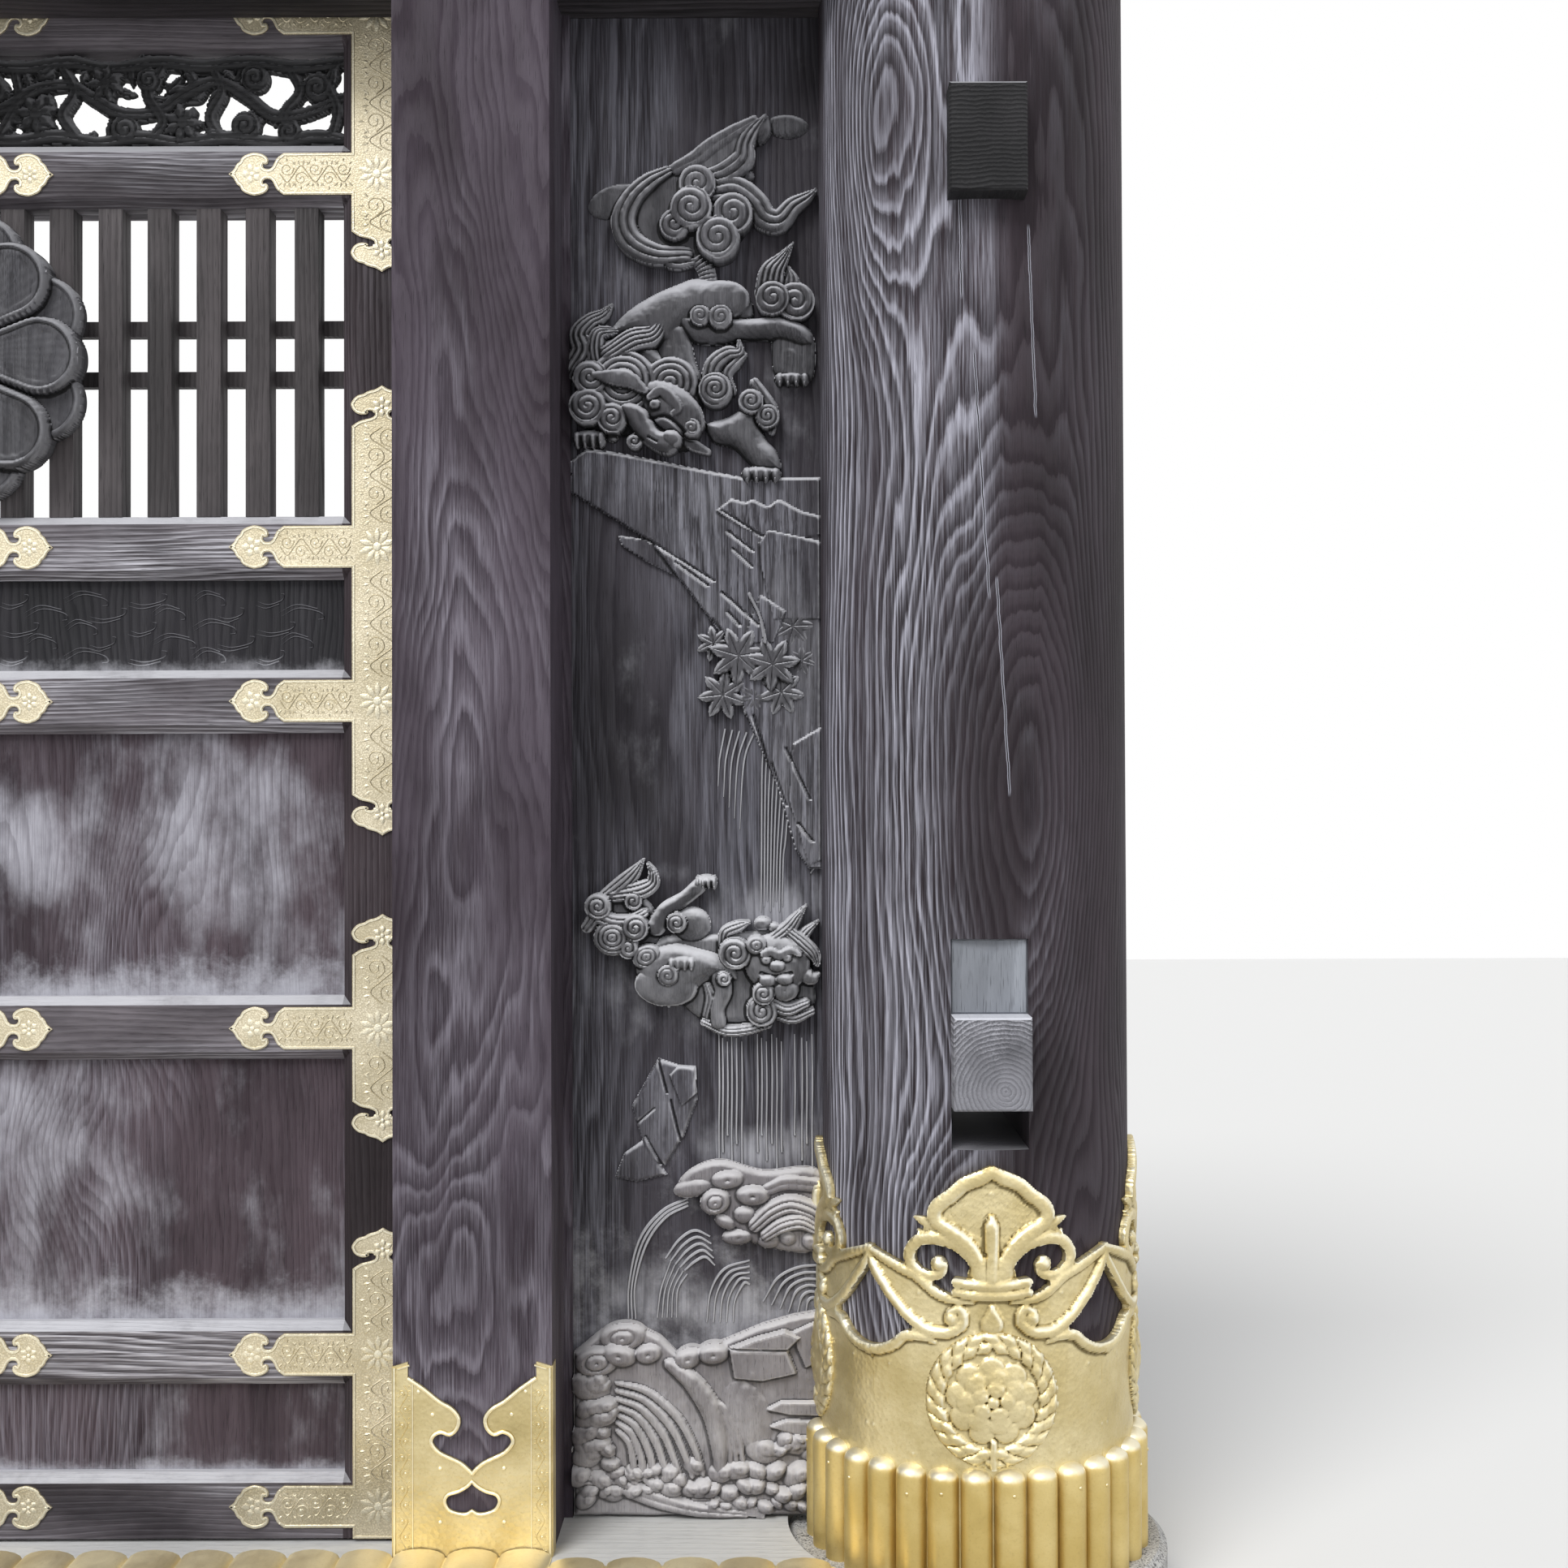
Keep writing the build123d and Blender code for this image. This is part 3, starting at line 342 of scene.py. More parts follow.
post_wood = wood("jamb", (0.024, 0.016, 0.023), (0.078, 0.062, 0.081), (0.29, 0.27, 0.32),
                 "Z", (0.38, 0.30), 0.0070, 0.075, 0.5, tilt=0.03, figure=0.6, streak=0.55, dust_and_highlight_colour=DUST_AND_HIGHLIGHT,
                 knots=((0.02, 0.50, 0.12, 0.42, 0.075), (-0.12, 1.65, 0.08, 0.7, 0.04),
                        (0.12, 2.4, 0.12, 0.6, 0.05)))
pillar_wood = wood("pillar", (0.013, 0.008, 0.011), (0.040, 0.029, 0.037), (0.56, 0.56, 0.65),
                   "Z", (TREE + 0.03, 0.30), 0.0080, 0.045, 0.5, figure=0.95, streak=0.95, dust_and_highlight_colour=DUST_AND_HIGHLIGHT, glint=0.012,
                   knots=((0.03, 1.28, 0.16, 0.46, 0.125), (-0.19, 2.38, 0.07, 0.26, 0.06),
                          (0.18, 2.05, 0.10, 0.5, 0.05),
                          (-0.09, 0.62, 0.12, 0.16, 0.05), (0.19, 0.70, 0.09, 0.25, 0.05)),
                   rings=((0.560, 0.044, 1.0, -0.02), (0.49, 0.030, 0.9, -0.08)),
                   cracks=((1.178, 2.42, 1.182, 2.06), (1.200, 1.99, 1.222, 1.60), (1.233, 1.64, 1.252, 1.30),
                           (1.285, 2.18, 1.296, 1.88)))
beam_wood = wood("head beam", (0.012, 0.010, 0.011), (0.05, 0.043, 0.048), (0.14, 0.13, 0.14),
                 "X", (0.2, 2.9), 0.011, 0.05, 0.6, figure=0.7, streak=0.4)
tie_wood = wood("tie beam", (0.005, 0.005, 0.006), (0.018, 0.017, 0.019), (0.085, 0.085, 0.09),
                "Y", (TREE + 0.02, 0.86), 0.007, 0.012, 0.85, figure=0.9, streak=0.3, dust_and_highlight_colour=(0.34, 0.34, 0.36))
low_tie_wood = wood("lower tie beam", (0.08, 0.08, 0.09), (0.24, 0.24, 0.265), (0.50, 0.50, 0.55),
                    "Y", (TREE + 0.02, 0.86), 0.007, 0.012, 0.95, figure=0.9, streak=0.8, dust_and_highlight_colour=(0.60, 0.61,
                                                                                                       0.66))
wedge_wood = wood("wedge", (0.17, 0.18, 0.20), (0.33, 0.35, 0.39), (0.52, 0.55, 0.60),
                  "Z", (1.1, 0.3), 0.010, 0.03, 0.4, figure=0.4, streak=0.5, dust_and_highlight_colour=(0.6, 0.63, 0.68))
sill_wood = wood("sill", (0.42, 0.42, 0.415), (0.60, 0.60, 0.595), (0.75, 0.75, 0.74),
                 "X", (0.2, 0.5), 0.012, 0.04, 0.55, dust_and_highlight_colour=(0.66, 0.66, 0.65), figure=0.4, streak=0.5)
board_wood = wood("carved board", (0.013, 0.011, 0.014), (0.042, 0.037, 0.046), (0.22, 0.22, 0.26),
                  "Z", (0.7, 0.25), 0.010, 0.05, 0.95, 0.7, figure=0.45, streak=0.6, shift=0.2, haze=0.85, clear=0.17,
                  dust_and_highlight_colour=(0.46, 0.46, 0.49),
                  mist=((0.87, 0.715, 0.10, 0.035, 0.38), (0.66, 0.475, 0.10, 0.05, 0.30),
                        (0.83, 0.450, 0.16, 0.04, 0.28), (0.89, 1.12, 0.07, 0.040, 0.34),
                        (0.70, 1.18, 0.04, 0.025, 0.26), (0.64, 1.50, 0.05, 0.22, 0.13),
                        (0.90, 0.74, 0.09, 0.05, 0.10)))
cliff_wood = carved("cliff", (0.016, 0.014, 0.017), (0.056, 0.052, 0.062), (0.26, 0.26, 0.30), (0.55, 0.55, 0.58),
                    0.45, 0.8, dust_and_top_light=1.0, shift=0.2, haze=0.25, deep=0.8, crest=0.85)
water_wood = carved("falling water", (0.05, 0.048, 0.054), (0.13, 0.128, 0.14), (0.36, 0.36, 0.39),
                    (0.55, 0.55, 0.58),
                    0.3, 0.8, haze=0.5, deep=0.85, crest=0.85)
carved_wood = carved("carving", (0.026, 0.025, 0.028), (0.074, 0.072, 0.080), (0.22, 0.22, 0.24), (0.50, 0.50, 0.53),
                     0.25, 0.35, rough=0.66, haze=0.15)
pale_carving = carved("pale carving", (0.13, 0.12, 0.128), (0.25, 0.235, 0.245), (0.42, 0.405, 0.42),
                      (0.60, 0.585, 0.595), 0.12, 0.25, rough=0.7, haze=0.55, deep=0.62, crest=0.28)
dusty_carving = carved("dusty carving", (0.030, 0.029, 0.032), (0.085, 0.083, 0.091), (0.25, 0.25, 0.27),
                       (0.62, 0.62, 0.645), 0.15, 0.3, dust_and_top_light=1.0, rough=0.68, haze=0.3, deep=0.92, crest=0.45)
rosette_wood = carved("rosette", (0.028, 0.027, 0.030), (0.066, 0.065, 0.073), (0.20, 0.20, 0.22), DUST_AND_HIGHLIGHT,
                      0.2, 0.6, centre=(0.3, 1.9), dust_and_top_light=0.7, rough=0.66, haze=0.25)
open_wood = carved("openwork", (0.010, 0.010, 0.011), (0.032, 0.032, 0.034), (0.12, 0.12, 0.125), (0.22, 0.22, 0.23),
                   0.2, 0.4, "X", (0.3, 1.9), 0.7, rough=0.66)
plate_gilt = gilt("plate gilt", (0.84, 0.77, 0.60), (0.68, 0.61, 0.44), (0.42, 0.35, 0.21), 0.40, punch=330.0,
                  relief=True, raised=(0.88, 0.84, 0.68))
rib_gilt = gilt("rib gilt", (0.70, 0.56, 0.25), (0.60, 0.45, 0.16), (0.36, 0.24, 0.08), 0.36, aged=0.25,
                top=(0.88, 0.84, 0.68))
cover_gilt = gilt("cover gilt", (0.90, 0.80, 0.54), (0.80, 0.68, 0.42), (0.52, 0.42, 0.22), 0.42, aged=0.25)
shoe_gilt = gilt("shoe gilt", (0.74, 0.64, 0.38), (0.60, 0.49, 0.24), (0.34, 0.26, 0.10), 0.33, hammer=120.0,
                 relief=True, raised=(0.92, 0.88, 0.70))

by_slot = {"leaf_wood": leaf_up, "post_wood": post_wood, "carved_wood": carved_wood, "pale_wood": wedge_wood,
           "sill_wood": sill_wood, "gilt": plate_gilt, "stone": granite("granite"),
           "bronze": gilt("bronze", (0.22, 0.17, 0.10), (0.14, 0.11, 0.07), (0.07, 0.06, 0.04), 0.45)}
# The first of these that a CAD node's name holds goes before its slot
by_name = (("_rail", leaf_across), ("frieze_panel", frieze_wood), ("_panel_", panel_wood),
           ("lattice_bars", lattice_wood), ("lattice_cross", lattice_wood), ("lower_tie_beam", low_tie_wood),
           ("tie_beam", tie_wood), ("carved_panel", board_wood), ("ribbed", cover_gilt), ("shoe_ribs", rib_gilt),
           ("shoe", shoe_gilt), ("lintel", beam_wood), ("pillar", pillar_wood))
slots = {part["node"]: part["material_slot"] for part in frame["record"]["subparts"]}
for name, node in frame["nodes"].items():
    node.data.materials.clear()
    node.data.materials.append(next((mat for word, mat in by_name if word in name), by_slot[slots[name]]))


# Camera, light and stage
camera_data = bpy.data.cameras.new("view")
camera_data.lens = 41.5
camera_data.sensor_width = 36
camera_data.clip_end = 100
camera = bpy.data.objects.new("view", camera_data)
scene.collection.objects.link(camera)
camera.location = (0.908, -3.0, 1.29)
camera.rotation_euler = Euler((math.radians(90.67), 0, 0), "XYZ")
camera.rotation_euler.rotate_axis("Z", math.radians(-0.21))
scene.camera = camera
scene.view_settings.view_transform = "Standard"

# The world lights at a plain grey level and shows white
world = bpy.data.worlds.new("studio")
scene.world = world
world.use_nodes = True
tree = world.node_tree
ray = tree.nodes.new("ShaderNodeLightPath")
shown = ray.outputs["Is Camera Ray"]
for kind in ("Is Glossy Ray", "Is Transmission Ray"):
    either = tree.nodes.new("ShaderNodeMath")
    either.operation = "MAXIMUM"
    tree.links.new(shown, either.inputs[0])
    tree.links.new(ray.outputs[kind], either.inputs[1])
    shown = either.outputs[0]
sky = tree.nodes.new("ShaderNodeMix")
sky.data_type = "RGBA"
tree.links.new(shown, sky.inputs[0])
sky.inputs[6].default_value = (0.52, 0.53, 0.55, 1)
sky.inputs[7].default_value = (1, 1, 1, 1)
tree.links.new(sky.outputs[2], tree.nodes["Background"].inputs[0])


def sun(name, strength, place, aim, spread):
    data = bpy.data.lights.new(name, "SUN")
    data.energy = strength
    data.angle = spread
    obj = bpy.data.objects.new(name, data)
    scene.collection.objects.link(obj)
    obj.location = place
    obj.rotation_euler = (Vector(aim) - Vector(place)).to_track_quat("-Z", "Y").to_euler()


sun("key", 2.3, (-1.5, -4.0, 6.0), (0.6, 0, 1.2), 0.5)
sun("fill", 0.5, (4.5, -4.0, 2.5), (0.6, 0, 1.2), 0.9)
sun("rim", 0.5, (-2.0, 5.0, 4.0), (0, 0, 1.2), 0.9)

floor_mesh = bpy.data.meshes.new("floor")
floor_mesh.from_pydata([(-12, -12, 0), (12, -12, 0), (12, 12, 0), (-12, 12, 0)], [], [(0, 1, 2, 3)])
floor = bpy.data.objects.new("floor", floor_mesh)
scene.collection.objects.link(floor)
floor_shade = Shade("floor")
floor_shade.bsdf.inputs["Base Color"].default_value = (0.72, 0.715, 0.70, 1)
floor_shade.bsdf.inputs["Roughness"].default_value = 0.9
floor_mesh.materials.append(floor_shade.mat)
floor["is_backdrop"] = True


# Shape tools, in millimetres: u across, z up and h out of the ground
def flat(left, depth):
    """Places (u, z, h) on the flat face at depth, h standing out of it."""
    return lambda u, z, h: np.stack([(left + u) / 1000, (depth - h) / 1000, z / 1000], -1)


def wrapped(turn, radius):
    """Places (s, z, h) round the pillar, s along the arc from the quarter's middle."""
    def place(s, z, h):
        a = turn + s / radius
        r = radius + h
        return np.stack([(PILLAR_X + r * np.sin(a)) / 1000, -r * np.cos(a) / 1000, z / 1000], -1)
    return place


def smooth_path(points, steps=10, closed=False):
    """A Catmull-Rom curve through the points, whose further columns such as widths are carried along."""
    p = np.array(points, float)
    if closed:
        p = np.vstack([p[-1], p, p[0], p[1]])
    else:
        p = np.vstack([2 * p[0] - p[1], p, 2 * p[-1] - p[-2]])
    t = np.linspace(0, 1, steps, endpoint=False)[:, None]
    rows = []
    for a, b, c, d in zip(p, p[1:], p[2:], p[3:]):
        bend = (2 * a - 5 * b + 4 * c - d) * t ** 2
        rows.append(0.5 * (2 * b + (c - a) * t + bend + (3 * b - a - 3 * c + d) * t ** 3))
    out = np.vstack(rows)
    return out if closed else np.vstack([out, p[-2]])


def blur(grid, n):
    """The mean over a square of 2n cells."""
    for axis in (0, 1):
        pad = [(n, n) if k == axis else (0, 0) for k in (0, 1)]
        run = np.cumsum(np.pad(grid, pad, mode="edge"), axis=axis)
        first = np.take(run, range(0, grid.shape[axis]), axis=axis)
        last = np.take(run, range(2 * n, 2 * n + grid.shape[axis]), axis=axis)
        grid = (last - first) / (2 * n)
    return grid


def to_segment(U, Z, a, b):
    """For each grid point, how far along a to b its nearest point lies, and its offset from there."""
    d = b[:2] - a[:2]
    n2 = max(d @ d, 1e-9)
    t = np.clip(((U - a[0]) * d[0] + (Z - a[1]) * d[1]) / n2, 0, 1)
    return t, U - a[0] - t * d[0], Z - a[1] - t * d[1], d, math.sqrt(n2)


class Field:
    """Heights h over a grid, with s the distance outside the carved outline."""

    def __init__(self, left, right, low, high, step):
        self.step = step
        self.U, self.Z = np.meshgrid(np.arange(left, right + step, step), np.arange(low, high + step, step))
        self.u0, self.z0 = left, low
        self.h = np.zeros(self.U.shape)
        self.s = np.full(self.U.shape, 1e3)

    def window(self, pts, reach):
        """The part of the grid within reach of the points, as slices, and its coordinates."""
        lo = pts[:, :2].min(0) - reach
        hi = pts[:, :2].max(0) + reach + self.step

        def span(a, b, start, size):
            return slice(*[int(np.clip((v - start) / self.step, 0, size)) for v in (a, b)])
        win = span(lo[1], hi[1], self.z0, self.U.shape[0]), span(lo[0], hi[0], self.u0, self.U.shape[1])
        return win, self.U[win], self.Z[win]

    def join(self, win, height, s, outline):
        """Raises the field to height where s is negative."""
        now = self.h[win]
        self.h[win] = np.where(s < 0, np.maximum(now, height), now)
        if outline:
            self.s[win] = np.minimum(self.s[win], s)

    def stroke(self, points, rise, seat=0.0, lines=0, depth=2.5, steps=8, outline=True, cross=0.0):
        """A band along points (u, z, half width), with grooves that run along it or across it."""
        p = smooth_path(points, steps)
        win, U, Z = self.window(p, p[:, 2].max() + 2 * self.step)
        if U.size == 0:
            return
        best = np.full(U.shape, 1e9)
        side, width, along = np.zeros(U.shape), np.ones(U.shape), np.zeros(U.shape)
        run = 0.0
        for a, b in zip(p[:-1], p[1:]):
            t, du, dz, d, length = to_segment(U, Z, a, b)
            dist = np.hypot(du, dz)
            closer = dist < best
            best = np.where(closer, dist, best)
            side = np.where(closer, (d[0] * dz - d[1] * du) / length, side)
            width = np.where(closer, a[2] + t * (b[2] - a[2]), width)
            along = np.where(closer, run + t * length, along)
            run += length
        t = np.clip(best / np.maximum(width, 0.1), 0, 1)
        height = seat + rise * (0.5 + 0.5 * np.sqrt(1 - t ** 2)) * np.clip(width / p[:, 2].max(), 0.35, 1) ** 0.5
        if lines:
            wave = 0.5 - 0.5 * np.cos(np.pi * (np.clip(side / width, -1, 1) + 1) * lines)
            height = height - depth * (1 - wave) ** 2
        if cross:
            height = height - depth * (0.5 + 0.5 * np.cos(2 * np.pi * along / cross)) ** 3
        self.join(win, height, best - width, outline)

    def spiral(self, u, z, radius, rise, seat=0.0, turns=2.2, hand=1, start=0.0, depth=3.5):
        """A coiled curl that rises towards its eye."""
        win, U, Z = self.window(np.array([[u, z]]), radius + 2 * self.step)
        if U.size == 0:
            return
        U, Z = U - u, Z - z
        r = np.hypot(U, Z)
        phase = r / radius * turns - hand * (np.arctan2(Z, U) + start) / (2 * math.pi)
        groove = (0.5 + 0.5 * np.cos(2 * math.pi * phase)) ** 3
        t = np.clip(r / radius, 0, 1)
        height = seat + rise * (0.55 + 0.45 * np.sqrt(1 - t ** 2)) - depth * groove * np.clip(r / (0.16 * radius), 0,
                                                                                              1)
        self.join(win, height, r - radius, True)

    def lump(self, u, z, a, b, rise, seat=0.0, turn=0.0, outline=True, rings=0, depth=2.0, power=0.5):
        """A domed oval, plain or with rings."""
        win, U, Z = self.window(np.array([[u, z]]), max(a, b) + 2 * self.step)
        if U.size == 0:
            return
        U, Z = U - u, Z - z
        c, s = math.cos(turn), math.sin(turn)
        t = np.hypot((U * c + Z * s) / a, (-U * s + Z * c) / b)
        height = seat + rise * np.clip(1 - np.clip(t, 0, 1) ** 2, 0, 1) ** power
        if rings:
            height = height - depth * (0.5 + 0.5 * np.cos(2 * math.pi * t * rings)) ** 3
        self.join(win, height, (t - 1) * min(a, b), outline)

    def blob(self, points, rise, seat=0.0, edge=20.0, smooth=True, add=False, lean=0.0):
        """A mass inside a closed outline, rounded over at its edge. It joins the field, or is added to its height."""
        p = smooth_path(points, 6, True) if smooth else np.array(points, float)
        win, U, Z = self.window(p, 2 * self.step)
        inside = np.zeros(U.shape, bool)
        best = np.full(U.shape, 1e9)
        for a, b in zip(p, np.roll(p, -1, 0)):
            best = np.minimum(best, np.hypot(*to_segment(U, Z, a, b)[1:3]))
            if a[1] != b[1]:
                inside ^= ((a[1] > Z) != (b[1] > Z)) & (U < (b[0] - a[0]) * (Z - a[1]) / (b[1] - a[1]) + a[0])
        t = np.clip(best / edge, 0, 1)
        height = rise * np.sqrt(1 - (1 - t) ** 2)
        if lean:
            low, high = p[:, 1].min(), p[:, 1].max()
            height = height * (1 - lean * (high - Z) / (high - low))
        if add:
            self.h[win] = np.where(inside, self.h[win] + height, self.h[win])
        else:
            self.join(win, seat + height, np.where(inside, -best, best), True)

    def groove(self, points, width, depth):
        """A cut along a line."""
        p = smooth_path(points, 6)
        win, U, Z = self.window(p, width + self.step)
        best = np.full(U.shape, 1e9)
        for a, b in zip(p[:-1], p[1:]):
            best = np.minimum(best, np.hypot(*to_segment(U, Z, a, b)[1:3]))
        self.h[win] -= depth * np.clip(1 - best / width, 0, 1)

    def paw(self, u, z, a, b, rise, seat=0.0):
        """A broad foot with four toes."""
        self.lump(u, z, a, b, rise, seat)
        for k in range(4):
            self.lump(u + (k - 1.5) * a * 0.46, z - b * 0.15, a * 0.26, b * 0.95, rise * 1.15, seat)
            self.lump(u + (k - 1.5) * a * 0.46, z - b * 0.75, a * 0.12, b * 0.4, rise * 1.1, seat)

    def roughen(self, amount):
        """Tool marks and wear, as soft unevenness."""
        soft = blur(blur(rng.standard_normal(self.h.shape), 2), 2)
        wide = blur(blur(rng.standard_normal(self.h.shape), 7), 7)
        self.h += amount * (soft / soft.std() * 0.4 + wide / wide.std() * 0.8)


def add_object(name, verts, faces, mat, body, replaced=(), slot=None, smooth=40.0, relief=None):
    """Makes a piece that rides on a body. Faces are a list of tuples or an array of quads."""
    mesh = bpy.data.meshes.new(name)
    mesh.vertices.add(len(verts))
    mesh.vertices.foreach_set("co", np.ascontiguousarray(verts, np.float32).ravel())
    sizes = np.array([len(f) for f in faces])
    mesh.loops.add(int(sizes.sum()))
    mesh.polygons.add(len(sizes))
    mesh.loops.foreach_set("vertex_index", np.concatenate([np.asarray(f) for f in faces]).astype(np.int32))
    mesh.polygons.foreach_set("loop_start", (np.cumsum(sizes) - sizes).astype(np.int32))
    mesh.update(calc_edges=True)
    mesh.validate()
    mesh.polygons.foreach_set("use_smooth", np.ones(len(mesh.polygons), bool))
    mesh.set_sharp_from_angle(angle=math.radians(smooth))
    if relief is not None and len(relief) == len(mesh.vertices):
        mesh.attributes.new("relief", "FLOAT", "POINT").data.foreach_set("value", relief.astype(np.float32))
    mesh.materials.append(mat)
    obj = bpy.data.objects.new(name, mesh)
    scene.collection.objects.link(obj)
    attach(obj, body)
    if replaced:
        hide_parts(*replaced)


def carve(name, field, place, mat, body, replaced=(), slot="carved_wood", sink=1.5, smooth=42.0, spread=6.0):
    """Makes the field's covered part a skinned relief whose walls run down to its ground."""
    s, step = field.s, field.step
    # grid points just outside or inside the outline move on to it
    gz, gu = np.gradient(s, step)
    n2 = np.maximum(gu ** 2 + gz ** 2, 0.3)
    near = ((s >= 0) & (s < 0.8 * step)) | ((s < 0) & (s > -0.3 * step))
    U = np.where(near, field.U - s * gu / n2, field.U)
    Z = np.where(near, field.Z - s * gz / n2, field.Z)
    keep = (s < 0) | near
    cell = keep[:-1, :-1] & keep[1:, :-1] & keep[:-1, 1:] & keep[1:, 1:]
    # a point outside takes the height of its neighbour inside
    h = np.where(s < 0, np.maximum(field.h, 0.0), 0.0)
    filled = h.copy()
    for axis, shift in ((0, 1), (0, -1), (1, 1), (1, -1)):
        filled = np.maximum(filled, np.where(s >= 0, np.roll(h, shift, axis), 0))
    h = np.where(s < 0, h, filled)
    # The relief value: height above the local mean, 0.5 on the mean. The materials paint shade where it is low and
    # pale crests where it is high.
    rel = np.clip(0.5 + (h - blur(h, max(int(spread / step), 1))) / 7.0, 0, 1)
    used = np.zeros(s.shape, bool)
    for corner in (used[:-1, :-1], used[1:, :-1], used[:-1, 1:], used[1:, 1:]):
        corner |= cell
    idx = -np.ones(s.shape, int)
    idx[used] = np.arange(used.sum())
    verts = place(U[used], Z[used], h[used])
    i, j = np.nonzero(cell)
    faces = np.stack([idx[i, j], idx[i, j + 1], idx[i + 1, j + 1], idx[i + 1, j]], 1)
    # a wall stands under each side of a cell that has no neighbour
    pad = np.pad(cell, 1)
    walls = []
    for di, dj, a, b in ((0, -1, (1, 0), (0, 0)), (0, 1, (0, 1), (1, 1)), (-1, 0, (0, 0), (0, 1)),
                         (1, 0, (1, 1), (1, 0))):
        open_side = cell & ~pad[1 + di:pad.shape[0] - 1 + di, 1 + dj:pad.shape[1] - 1 + dj]
        i, j = np.nonzero(open_side)
        walls.append(np.stack([idx[i + a[0], j + a[1]], idx[i + b[0], j + b[1]]], 1))
    walls = np.vstack(walls)
    edge = np.unique(walls)
    lower = -np.ones(used.sum(), int)
    lower[edge] = len(verts) + np.arange(len(edge))
    verts = np.vstack([verts, place(U[used][edge], Z[used][edge], np.full(len(edge), -sink))])
    # Painted shade: the walls' lower edges get a low relief value, which the materials darken.
    relief = np.concatenate([rel[used], np.full(len(edge), 0.3)])
    wall_faces = np.stack([walls[:, 0], lower[walls[:, 0]], lower[walls[:, 1]], walls[:, 1]], 1)
    add_object(name, verts, np.vstack([faces, wall_faces]), mat, body, replaced, slot, smooth, relief)


class Stock:
    """Collects strips, sheets and studs into one piece."""

    def __init__(self):
        self.verts, self.faces, self.relief, self.count = [], [], [], 0

    def put(self, verts, faces, relief):
        self.verts.append(verts)
        self.faces += [tuple(int(k) + self.count for k in f) for f in faces]
        self.relief.append(relief)
        self.count += len(verts)

    def ridge(self, points, rise, place, seat=0.0, steps=6, closed=False, sides=4, relief=0.75, smooth=True,
              foot=0.12):
        """A rounded bead along points (u, z, half width)."""
        p = smooth_path(points, steps, closed) if smooth else np.array(points, float)
        if closed:
            ahead, behind = np.roll(p, -1, 0), np.roll(p, 1, 0)
        else:
            ahead, behind = np.vstack([p[1:], p[-1]]), np.vstack([p[0], p[:-1]])
        d = ahead[:, :2] - behind[:, :2]
        d /= np.maximum(np.hypot(d[:, 0], d[:, 1]), 1e-9)[:, None]
        normal = np.stack([-d[:, 1], d[:, 0]], 1)
        rows = []
        for k in range(sides + 1):
            turn = math.pi * k / sides
            u = p[:, :2] + normal * (p[:, 2] * math.cos(turn))[:, None]
            h = seat + rise * math.sin(turn) * np.clip(p[:, 2] / p[:, 2].max(), 0.3, 1)
            h = h - (0.4 if k in (0, sides) else 0)
            rows.append(place(u[:, 0], u[:, 1], h))
        verts = np.stack(rows, 1)
        n, m = verts.shape[:2]
        faces = []
        for i in range(n if closed else n - 1):
            for k in range(m - 1):
                a, b = i * m + k, ((i + 1) % n) * m + k
                faces.append((a, b, b + 1, a + 1))
        if not closed:
            faces += [tuple(range(m)), tuple(reversed(range((n - 1) * m, n * m)))]
        # Painted shade: a raised bead's two feet get the low value foot, which the materials darken into a line along
        # its base.
        shade = np.full(m, relief)
        if relief > 0.6:
            shade[[0, -1]] = foot
        self.put(verts.reshape(-1, 3), faces, np.tile(shade, n))

    def sheet(self, outline, thick, place, holes=(), seat=0.0, relief=0.5):
        """A flat sheet inside an outline, with holes."""
        loops = [np.array(loop, float) for loop in (outline, *holes)]
        points = np.vstack(loops)
        n = len(points)
        top = place(points[:, 0], points[:, 1], np.full(n, seat + thick))
        low = place(points[:, 0], points[:, 1], np.full(n, seat - 0.3))
        faces = []
        for t in tessellate_polygon([[Vector((a, b, 0)) for a, b in loop] for loop in loops]):
            a, b, c = (points[k] for k in t)
            turn = (b[0] - a[0]) * (c[1] - a[1]) - (b[1] - a[1]) * (c[0] - a[0])
            if abs(turn) > 1e-9:
                faces.append(tuple(t) if turn > 0 else (t[0], t[2], t[1]))
        start = 0
        for loop in loops:
            area = 0.5 * np.sum(loop[:, 0] * np.roll(loop[:, 1], -1) - np.roll(loop[:, 0], -1) * loop[:, 1])
            order = [start + k for k in range(len(loop))]
            if (area > 0) != (start == 0):
                order.reverse()
            faces += [(a, n + a, n + b, b) for a, b in zip(order, order[1:] + order[:1])]
            start += len(loop)
        self.put(np.vstack([top, low]), faces, np.full(2 * n, relief))

    def stud(self, u, z, radius, rise, place, seat=0.0, sides=8, relief=0.8):
        """A small domed nail or bead."""
        a = 2 * np.pi * np.arange(sides) / sides
        verts = [place(u + radius * r * np.cos(a), z + radius * r * np.sin(a), np.full(sides, seat + rise * h))
                 for r, h in ((1.0, -0.2), (0.92, 0.5), (0.6, 0.88))]
        verts.append(place(np.array([u]), np.array([z]), np.array([seat + rise])))
        faces = []
        for ring in range(2):
            for k in range(sides):
                a, b = ring * sides + k, ring * sides + (k + 1) % sides
                faces.append((a, b, b + sides, a + sides))
        faces += [(2 * sides + k, 2 * sides + (k + 1) % sides, 3 * sides) for k in range(sides)]
        self.put(np.vstack(verts), faces, np.full(3 * sides + 1, relief))

    def make(self, name, mat, body, replaced=(), slot=None, smooth=45.0):
        add_object(name, np.vstack(self.verts), self.faces, mat, body, replaced, slot, smooth,
                   np.concatenate(self.relief))


# The carved side panel, with u from the jamb and z from the ground
ON_PANEL = flat(PANEL_LEFT, PANEL_FRONT)
BOARD_THICK = 45


